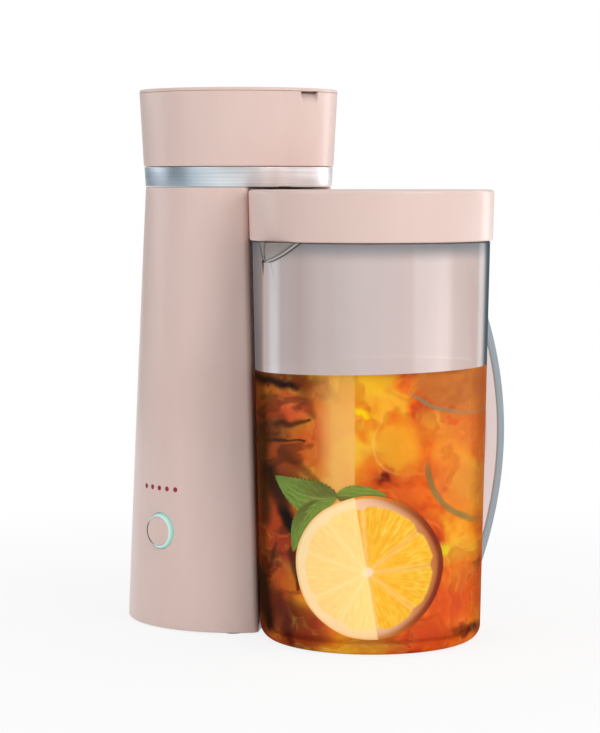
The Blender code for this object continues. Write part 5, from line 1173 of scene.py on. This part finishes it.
# The tea in its jug, with the painted stripe of reflected light laid over it. Its top takes the clear wall's
# colour where it is seen at a low angle, a painted reflection, and the tea gives off a painted glow.
def teaFinish():
    f = Finish("icedTea")
    base, u, h, front = teaColour(f)
    z = f.axes()[2]
    streak = f.noise(f.vector(u * 3.0, 0.0, h * 0.9), 4.0, 3.0, 0.6)
    glare = stripe(f, u, h) * front * f.step(h, 0.62, 1.0) * f.step(h, 2.44, 2.05, 0.46, 0.84)
    base = f.mix(glare * (0.80 + streak * 0.36), base, rgb(252, 202, 110))
    top = f.step(z - u * tea["slant"], tea["top"] - 0.0004, tea["top"] - 0.0001)
    base = f.mix(top * f.step(f.facing(0.5), 0.45, 0.9), base, rgb(206, 190, 186))
    # painted glow: the tea gives off light of its own
    return f.coat({"Base Color": base, "Roughness": 0.4 - top * 0.3, "IOR": 1.36, "Specular IOR Level": 0.05,
                   "Emission Color": base, "Emission Strength": 0.12})


# The tea fills the jug up to its line, with a small curl up the wall that falls off as a power of
# the distance from it. The top is then tilted evenly to the right by the slant.
def makeTea():
    gap, heel = tea["gap"], jug["heel"] - jug["wall"]
    lowZ = jug["floor"] + gap
    turn = span(-math.pi / 2, 0, 14)
    edgeZ = jug["floor"] + heel
    middle = wallInside(edgeZ) - heel
    heelRound = np.stack([middle + (heel - gap) * np.cos(turn), edgeZ + (heel - gap) * np.sin(turn)],
                         axis=1)
    wallZ = span(edgeZ + 0.002, tea["top"] + tea["meniscus"], tea["rows"])
    wall = np.stack([wallInside(wallZ) - gap, wallZ], axis=1)
    curl = span(0, 1, 9)[1:]
    topR = wallInside(tea["top"]) - gap
    surface = np.stack([topR - tea["curl"] * curl,
                        tea["top"] + tea["meniscus"] * (1 - curl) ** tea["curlPower"]], axis=1)
    flat = np.stack([span(topR - 0.008, 0.004, 12), np.full(12, tea["top"])], axis=1)
    profile = np.vstack([[(0, lowZ), (0.02, lowZ), (0.04, lowZ)], heelRound, wall, surface, flat,
                         [(0, tea["top"])]])
    body = turned("icedTea", profile, (jugX, jugY), teaFinish(), 240)
    spots = np.empty(len(body.data.vertices) * 3)
    body.data.vertices.foreach_get("co", spots)
    spots = spots.reshape(-1, 3)
    tilt = tea["slant"] * rightOf(jugX, jugY, spots) / drawUnit
    spots[:, 2] += tilt * np.clip(spots[:, 2] / tea["top"], 0, 1) ** tea["tiltPower"]
    body.data.vertices.foreach_set("co", spots.ravel())
    place(body, "pitcher", "clear_plastic")


# Places flat drawing points on the inside of the jug's wall: across the camera's view the turn is the
# arc whose sine is the distance over the radius, and the depth is taken inwards.
def onWall(across, height, depth):
    radius = wallInside(height)
    turn = viewTurn + np.arcsin(np.clip(across / radius, -0.999, 0.999))
    inside = radius - depth
    return np.stack([jugX + inside * np.cos(turn), jugY + inside * np.sin(turn), height], axis=-1)


fruitSharpAngle = 60.0
pulpTones = [(0.32, (238, 170, 28)), (0.50, (247, 192, 42)), (0.68, (252, 210, 68)), (0.84, (255, 228, 120))]


# A cut slice in its own round map: the share of the way from hub to rim and the gap to the nearest
# membrane come with the mesh. They give rind, pith, membranes and pulp drawn out along the radius. Painted
# shade darkens its right side and bottom, the window's painted light pales its left, and it has a painted
# glow.
def citrusFinish(name):
    f = Finish(name)
    uv = f.node("ShaderNodeTexCoord", out="UV")
    across, up, _ = f.axes(uv)
    far, gap = f.mask("far"), f.mask("gap")
    turn = f.math("ARCTAN2", up, across)
    wobble = f.noise(uv, 9.0, 3.0) - 0.5
    outward = f.vector(f.math("COSINE", turn) * 14.0, f.math("SINE", turn) * 14.0, far * 1.6)
    rays = f.noise(outward, 2.4, 4.0, 0.7)
    drops = f.cells(f.vector(turn * 8.0, far * 5.0, 0.0), 2.0)
    pulp = f.ramp(rays * 0.8 + drops * 0.3, stopsOf(pulpTones))
    # painted shade: pith, rind and membranes darker on the right side and below
    side = f.step(across, -0.25, 0.95)
    below = f.step(up, -0.55, -0.95)
    pith = f.mix(f.math("MAXIMUM", side, below * 0.5), rgb(253, 216, 172), rgb(196, 122, 62))
    pith = f.mix(f.step(far, 0.87, 0.96) * side, pith, rgb(146, 66, 30))
    membrane = f.step(gap + wobble * 0.01, 0.022, 0.006)
    base = f.mix(f.step(gap, 0.075, 0.02) * 0.30, pulp, rgb(255, 214, 120))
    base = f.mix(membrane * 0.45, base, f.mix(side, rgb(255, 226, 160), rgb(210, 164, 74)))
    edge = 0.845 + f.step(gap, 0.13, 0.0) * -0.035 + wobble * 0.03
    base = f.mix(f.step(far - edge, 0.0, 0.035), base, pith)
    base = f.mix(f.step(far + wobble * 0.06, 0.095, 0.05), base, rgb(255, 234, 196))
    rind = f.mix(side, rgb(242, 158, 58), rgb(124, 38, 16))
    base = f.mix(f.step(far, 0.955 - side * 0.045, 0.985 - side * 0.025), base, rind)
    u, _, h = frontAxes(f)
    pale = stripe(f, u, h, -1.2, -1.1)
    base = f.mix(pale * 0.56, base, rgb(255, 240, 176))
    # painted glow, stronger where the painted window light falls
    shine = f.mix(0.62 + pale * 0.38, (0, 0, 0, 1), base)
    relief = rays * 0.5 + drops * 0.3 - membrane * 0.4
    return f.coat({"Base Color": base, "Roughness": 0.30 + membrane * 0.2, "Specular IOR Level": 0.1,
                   "Emission Color": shine, "Emission Strength": 0.32,
                   "Normal": f.bump(relief, 0.25, 0.0006)})


# The slice's middle and its hub's offset from it, across and up; its half width and height; how deep
# it lies, how thick it is, and the turns of its membranes in degrees.
lemon = {"middle": (-0.0007, 0.0498), "hub": (-0.0010, -0.0024), "reachX": 0.0418, "reachZ": 0.0407,
         "depth": 0.0002, "thick": 0.0008, "membranes": (5, 39, 95, 130, 164, -152, -119, -80, -39),
         "turns": 29, "faceRings": 44, "grooveWidth": 0.02, "grooveDepth": 0.00012, "pulp": (0.1, 0.83)}


# A closed round slice about its hub, which lies off the rim's middle. The rim is an ellipse: in each
# direction its distance is the larger root of the square equation. Turns are set at every membrane.
def makeSlice(name, fruit, material):
    middle, hub, depth, thick = fruit["middle"], fruit["hub"], fruit["depth"], fruit["thick"]
    reachX, reachZ = fruit["reachX"], fruit["reachZ"]
    stops = np.radians(np.sort(fruit["membranes"]))
    stops = np.append(stops, stops[0] + math.tau)
    turn = np.concatenate([span(a, b, fruit["turns"])[:-1] for a, b in zip(stops[:-1], stops[1:])])
    c, s = np.cos(turn) / reachX, np.sin(turn) / reachZ
    offX, offZ = hub[0] / reachX, hub[1] / reachZ
    half = c * offX + s * offZ
    square = c ** 2 + s ** 2
    rim = (-half + np.sqrt(half ** 2 - square * (offX ** 2 + offZ ** 2 - 1))) / square
    rim = rim * (1 + 0.004 * np.sin(turn * 5 + 1.0) + 0.003 * np.sin(turn * 9))  # not quite even
    face = span(0.0, 0.97, fruit["faceRings"])[1:]  # the cut face, then the rounded edge and the back
    rings = np.concatenate([face, [0.99, 1.0, 1.0, 0.99, 0.5, 0.05]])
    deep = np.concatenate([np.zeros(len(face)), [0.06, 0.25, 0.75, 1.0, 1.0, 1.0]]) * thick
    near = np.min(np.abs((turn[:, None] - stops[None] + math.pi) % math.tau - math.pi), axis=1)
    gap = near[None] * rings[:, None] * rim[None] / reachX
    inner, outer = fruit["pulp"]
    pulpRings = (rings > inner) & (rings < outer) & (np.arange(len(rings)) < len(face))
    groove = bell(gap, fruit["grooveWidth"]) * pulpRings[:, None] * fruit["grooveDepth"]
    x = rings[:, None] * rim[None] * np.cos(turn)
    y = rings[:, None] * rim[None] * np.sin(turn)
    left, low = middle[0] + hub[0], middle[1] + hub[1]
    points = onWall(left + x, low + y, depth + deep[:, None] + groove)
    ends = onWall(np.full(2, left), np.full(2, low), depth + np.array([0, thick]))
    steps = len(turn)
    piece = addPiece(name, np.vstack([points.reshape(-1, 3), ends]), closedFaces(len(rings), steps),
                     material, smoothAngle=fruitSharpAngle)
    setUv(piece, np.vstack([np.stack([x, y], axis=-1).reshape(-1, 2) / reachX, [[0, 0], [0, 0]]]))
    setMask(piece, "far", np.append(np.repeat(rings, steps), [0, 0]))
    setMask(piece, "gap", np.append(gap.ravel(), [0, 0]))
    place(piece, "pitcher", "clear_plastic")


# Mint leaf in its own map: along and across give a pale midrib, slanting side veins and quilted green
# between them, darker olive on one half towards the stem, and a painted glow.
def leafFinish():
    f = Finish("mintLeaf")
    uv = f.node("ShaderNodeTexCoord", out="UV")
    across, along, _ = f.axes(uv)
    side = f.math("ABSOLUTE", across)
    veinPhase = f.math("FRACT", (along - side * veins["lean"]) * float(veins["count"]) + 10.0)
    vein = f.step(f.math("ABSOLUTE", veinPhase - 0.5), 0.40, 0.5)
    midrib = f.step(side, 0.03, 0.075, 1.0, 0.0)
    mottled = f.noise(uv, 5.0, 4.0, 0.6)
    fine = f.cells(uv, 26.0)
    green = f.mix(f.step(mottled, 0.3, 0.7), rgb(104, 142, 50), rgb(152, 184, 80))
    green = f.mix(f.step(across, 0.25, -0.35) * f.step(along, 0.95, 0.2) * 0.75, green, rgb(98, 90, 44))
    green = f.mix(fine * 0.3, green, rgb(84, 124, 44))
    base = f.mix(f.math("MAXIMUM", vein * 0.35, midrib * 0.45), green, rgb(166, 178, 104))
    # painted glow: the leaf gives off a little light of its own
    return f.coat({"Base Color": base, "Roughness": 0.42, "Emission Color": base, "Emission Strength": 0.16,
                   "Specular IOR Level": 0.15,
                   "Normal": f.bump(fine * -0.6 - vein * 0.5 - midrib + mottled, 0.5, 0.0008)})


# Each leaf's stem and tip, across and up; its half width, its depth and how far it is bent aside.
mint = [
    {"start": (-0.0190, 0.0893), "end": (-0.0557, 0.0978), "width": 0.0106, "depth": 0.0012, "bend": 0.0045},
    {"start": (-0.0198, 0.0903), "end": (0.0095, 0.0908), "width": 0.0064, "depth": 0.0011, "bend": 0.0},
    {"start": (-0.0300, 0.0870), "end": (-0.0447, 0.0562), "width": 0.0062, "depth": 0.0011, "bend": -0.0023}]
tooth = {"count": 15, "depth": 0.17, "power": 5}
veins = {"count": 7, "lean": 0.42}
leafShape = {"rows": 90, "columns": 41, "stemPower": 0.78, "widthPower": 0.82, "quilt": 0.00012,
             "dome": 0.0003, "thick": 0.0007}


# A leaf from stem to tip: its width follows the sine of the way along, cut into teeth, and its middle
# line is bent aside by a parabola.
def makeLeaf(name, one, material):
    shape = leafShape
    along, across = np.meshgrid(span(0, 1, shape["rows"]), span(-1, 1, shape["columns"]), indexing="ij")
    side = np.abs(across)
    teeth = 1 - tooth["depth"] * ((along * tooth["count"]) % 1) * side ** tooth["power"]
    width = one["width"] * np.sin(math.pi * along ** shape["stemPower"]) ** shape["widthPower"] * teeth
    start = np.array(one["start"])
    run = np.array(one["end"]) - start
    length = np.linalg.norm(run)
    forward, aside = run / length, np.array([-run[1], run[0]]) / length
    lift = one["bend"] * 4 * along * (1 - along)
    x = start[0] + forward[0] * length * along + aside[0] * (width * across + lift)
    z = start[1] + forward[1] * length * along + aside[1] * (width * across + lift)
    phase = (along - side * veins["lean"]) * veins["count"]
    depth = one["depth"] + shape["quilt"] * np.sin(phase * math.tau) * (1 - side)
    front = onWall(x, z, depth + shape["dome"] * (1 - side) ** 4)
    behind = onWall(x, z, depth + shape["thick"] - shape["dome"] * side ** 4)
    rows, cols = x.shape
    faces = gridFaces(rows, cols, False)
    total = rows * cols
    ring = np.concatenate([np.arange(cols), np.arange(1, rows) * cols + cols - 1,
                           total - 2 - np.arange(cols - 1), (np.arange(rows - 2, 0, -1)) * cols])
    edge = np.stack([np.roll(ring, -1) + total, ring + total, ring, np.roll(ring, -1)], axis=1)
    points = np.vstack([front.reshape(-1, 3), behind.reshape(-1, 3)])
    piece = addPiece(name, points, [faces[:, ::-1], faces + total, edge], material,
                     smoothAngle=fruitSharpAngle)
    uv = np.stack([across, along], axis=-1).reshape(-1, 2)
    setUv(piece, np.vstack([uv, uv]))
    place(piece, "pitcher", "clear_plastic")


makeTea()
makeSlice("lemonSlice", lemon, citrusFinish("lemonSlice"))
leaf = leafFinish()
for number, one in enumerate(mint, start=1):
    makeLeaf("mintLeaf%d" % number, one, leaf)
print("tea and fruit made")


# The nodes that keep their own shape get a smooth copy and their own finish: body, slot, finish
# and nodes.
kept = [("tower", "blush_plastic_inner", blushInner, ["base_plate"]),
        ("tower", "milky_plastic", milky, ["brew_basket", "filter_cup"]),
        ("top_lid", "milky_plastic", milky, ["shower_plate"]),
        ("tower", "milky_plastic", milky, ["water_tank", "tank_cradle", "riser_nozzle", "check_valve"]),
        ("tower", "black_rubber", rubber, ["tank_grommet"]),
        ("tower", "silicone", silicone, ["inlet_hose", "riser_tube"]),
        ("tower", "cast_aluminium", casting, ["heater_block"]),
        ("tower", "fastener_steel", fastener, ["thermostat", "thermal_fuse", "lid_hinge_pin"]),
        ("tower", "circuit_board", board, ["control_board"]),
        ("tower", "switch_plastic", switchBlack, ["button_switch"]),
        ("tower", "black_rubber", rubber, ["cord_gland"]),
        ("pitcher_lid", "blush_plastic_inner", blushInner, ["lid_plug"]),
        ("pitcher_lid", "silicone", silicone, ["lid_gasket"]),
        ("tower", "black_rubber", rubber, ["foot_%d" % i for i in range(1, 6)]),
        ("tower", "fastener_steel", fastener, ["base_screw_%d" % i for i in range(1, 5)])]
copySharpAngle = 34.0  # degrees between faces from which a copy's edge stays sharp
mergeGap = 0.00001


# A node's own mesh with its doubles merged, so that it shades smoothly up to sharp edges.
def smoothCopy(node, body, slotName, material):
    shape = bmesh.new()
    shape.from_mesh(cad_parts[node].data)
    bmesh.ops.remove_doubles(shape, verts=shape.verts, dist=mergeGap)  # the node's triangles are loose
    mesh = bpy.data.meshes.new(node + "Smooth")
    shape.to_mesh(mesh)
    shape.free()
    mesh.materials.clear()
    mesh.materials.append(material)
    mesh.shade_smooth()
    mesh.set_sharp_from_angle(angle=math.radians(copySharpAngle))
    place(addObject(node + "Smooth", mesh), body, slotName, node)


for body, slotName, material, nodes in kept:
    for node in nodes:
        smoothCopy(node, body, slotName, material)
print("inner pieces finished:", sum(len(nodes) for body, slotName, material, nodes in kept))


# Floor, lights and camera
white = (1, 1, 1, 1)
# The floor's half width, its paint, and how white it is seen near the part and from how far away.
floor = {"size": 6.0, "paint": (0.9, 0.9, 0.9, 1), "nearShare": 0.84, "fade": (0.16, 0.60)}
softLight = 0.57  # the world's grey light on everything
cameraTurn = -49.0  # degrees about the upright axis
view = {"place": (0.90553, -1.05727, 0.26483), "drop": 4.52, "lens": 114.48, "sensor": 36.0}


# Diffuse paint that camera, mirror and glass rays see mostly as plain white, wholly so far away.
def stageFinish(name, colour, nearShare):
    f = Finish(name)
    direct, mirrored, through = f.node("ShaderNodeLightPath", None, None,
                                       ("Is Camera Ray", "Is Glossy Ray", "Is Transmission Ray"))
    seen = f.math("MAXIMUM", direct, f.math("MAXIMUM", mirrored, through))
    far = f.node("ShaderNodeVectorMath", {"operation": "LENGTH"}, {0: f.point}, "Value")
    plain = f.step(far, *floor["fade"], nearShare, 1.0)
    mottle = f.noise(None, 3.0, 2.0)
    paint = f.node("ShaderNodeBsdfDiffuse", None,
                   {"Color": f.mix(mottle * 0.1, colour, rgb(238, 238, 238))})
    light = f.node("ShaderNodeEmission", None, {"Color": white, "Strength": 1.0})
    return f.end(f.node("ShaderNodeMixShader", None, {0: seen * plain, 1: paint, 2: light}))


# A flat floor, far wider than the view.
def addStage():
    size = floor["size"]
    corners = [(-size, -size, 0), (size, -size, 0), (size, size, 0), (-size, size, 0)]
    mesh = bpy.data.meshes.new("floor")
    mesh.from_pydata(corners, [], [(0, 1, 2, 3)])
    mesh.materials.append(stageFinish("floorPaint", floor["paint"], floor["nearShare"]))
    addObject("floor", mesh)


# White where it is looked at, directly or through clear parts, and soft grey light for all else.
def addWorld():
    world = bpy.data.worlds.new("studio")
    bpy.context.scene.world = world
    f = Finish("studio", world)
    direct, through = f.node("ShaderNodeLightPath", None, None, ("Is Camera Ray", "Is Transmission Ray"))
    strength = f.node("ShaderNodeMapRange", None, {"Value": direct + through, "To Min": softLight})
    back = f.node("ShaderNodeBackground", None, {"Color": white, "Strength": strength})
    f.end(back, "ShaderNodeOutputWorld")


# A place at an angle to the right of the camera, seen from the part.
def offCamera(angle, distance, height):
    turn = math.radians(cameraTurn + angle)
    return Vector((distance * math.cos(turn), distance * math.sin(turn), height))


# A flat soft lamp of a given brightness that looks at the part.
def addLight(name, angle, distance, height, width, tall, radiance, colour=(1, 1, 1), aim=0.16):
    lamp = bpy.data.lights.new(name, "AREA")
    lamp.shape = "RECTANGLE"
    lamp.size, lamp.size_y = width, tall
    lamp.energy = radiance * math.pi * width * tall
    lamp.color = colour
    made = addObject(name, lamp)
    made.location = offCamera(angle, distance, height)
    made.rotation_euler = (Vector((0, 0, aim)) - made.location).to_track_quat("-Z", "Z").to_euler()
    made.visible_camera = False


# A curved grey card out of the camera's sight that darkens the mirrors on one side.
def addCard(name, fromAngle, toAngle, distance, tall, colour, steps=24):
    turn = np.radians(cameraTurn + span(fromAngle, toAngle, steps))
    low = np.stack([distance * np.cos(turn), distance * np.sin(turn), np.zeros(steps)], axis=1)
    points = np.concatenate([low, low + [0, 0, tall]])
    f = Finish(name)
    paint = f.end(f.node("ShaderNodeEmission", None, {"Color": colour, "Strength": 1.0}))
    card = addPiece(name, points, [gridFaces(2, steps, False)], paint)
    card.visible_camera = False
    card.visible_shadow = False


# The photograph's view: a long lens a little above the part, looking slightly down.
def addCamera():
    data = bpy.data.cameras.new("view")
    data.sensor_width, data.lens = view["sensor"], view["lens"]
    data.clip_start, data.clip_end = 0.05, 50.0
    camera = addObject("view", data)
    camera.location = view["place"]
    turn, drop = math.radians(cameraTurn), math.radians(view["drop"])
    aim = Vector((-math.cos(turn) * math.cos(drop), -math.sin(turn) * math.cos(drop), -math.sin(drop)))
    camera.rotation_euler = aim.to_track_quat("-Z", "Y").to_euler()
    bpy.context.scene.camera = camera


addStage()
addWorld()
# each lamp's angle, distance and height, its width and height, and its brightness
addLight("frontSoft", -54, 1.5, 0.95, 1.10, 1.20, 1.06)
addLight("rightSoft", 46, 1.6, 0.90, 1.10, 1.15, 2.35)
addLight("rightFill", 98, 1.5, 0.45, 1.10, 1.10, 0.40)
addLight("topSoft", 10, 0.4, 1.7, 1.20, 1.20, 0.45)
addLight("edgeStrip", 128, 1.3, 0.40, 0.34, 1.1, 2.2)
addLight("leftStrip", -116, 1.3, 0.40, 0.30, 1.0, 1.3, (0.93, 0.93, 1.0))
addCard("leftCard", -150, -68, 1.6, 1.2, (0.24, 0.26, 0.28, 1))
addCamera()

print("stage ready")
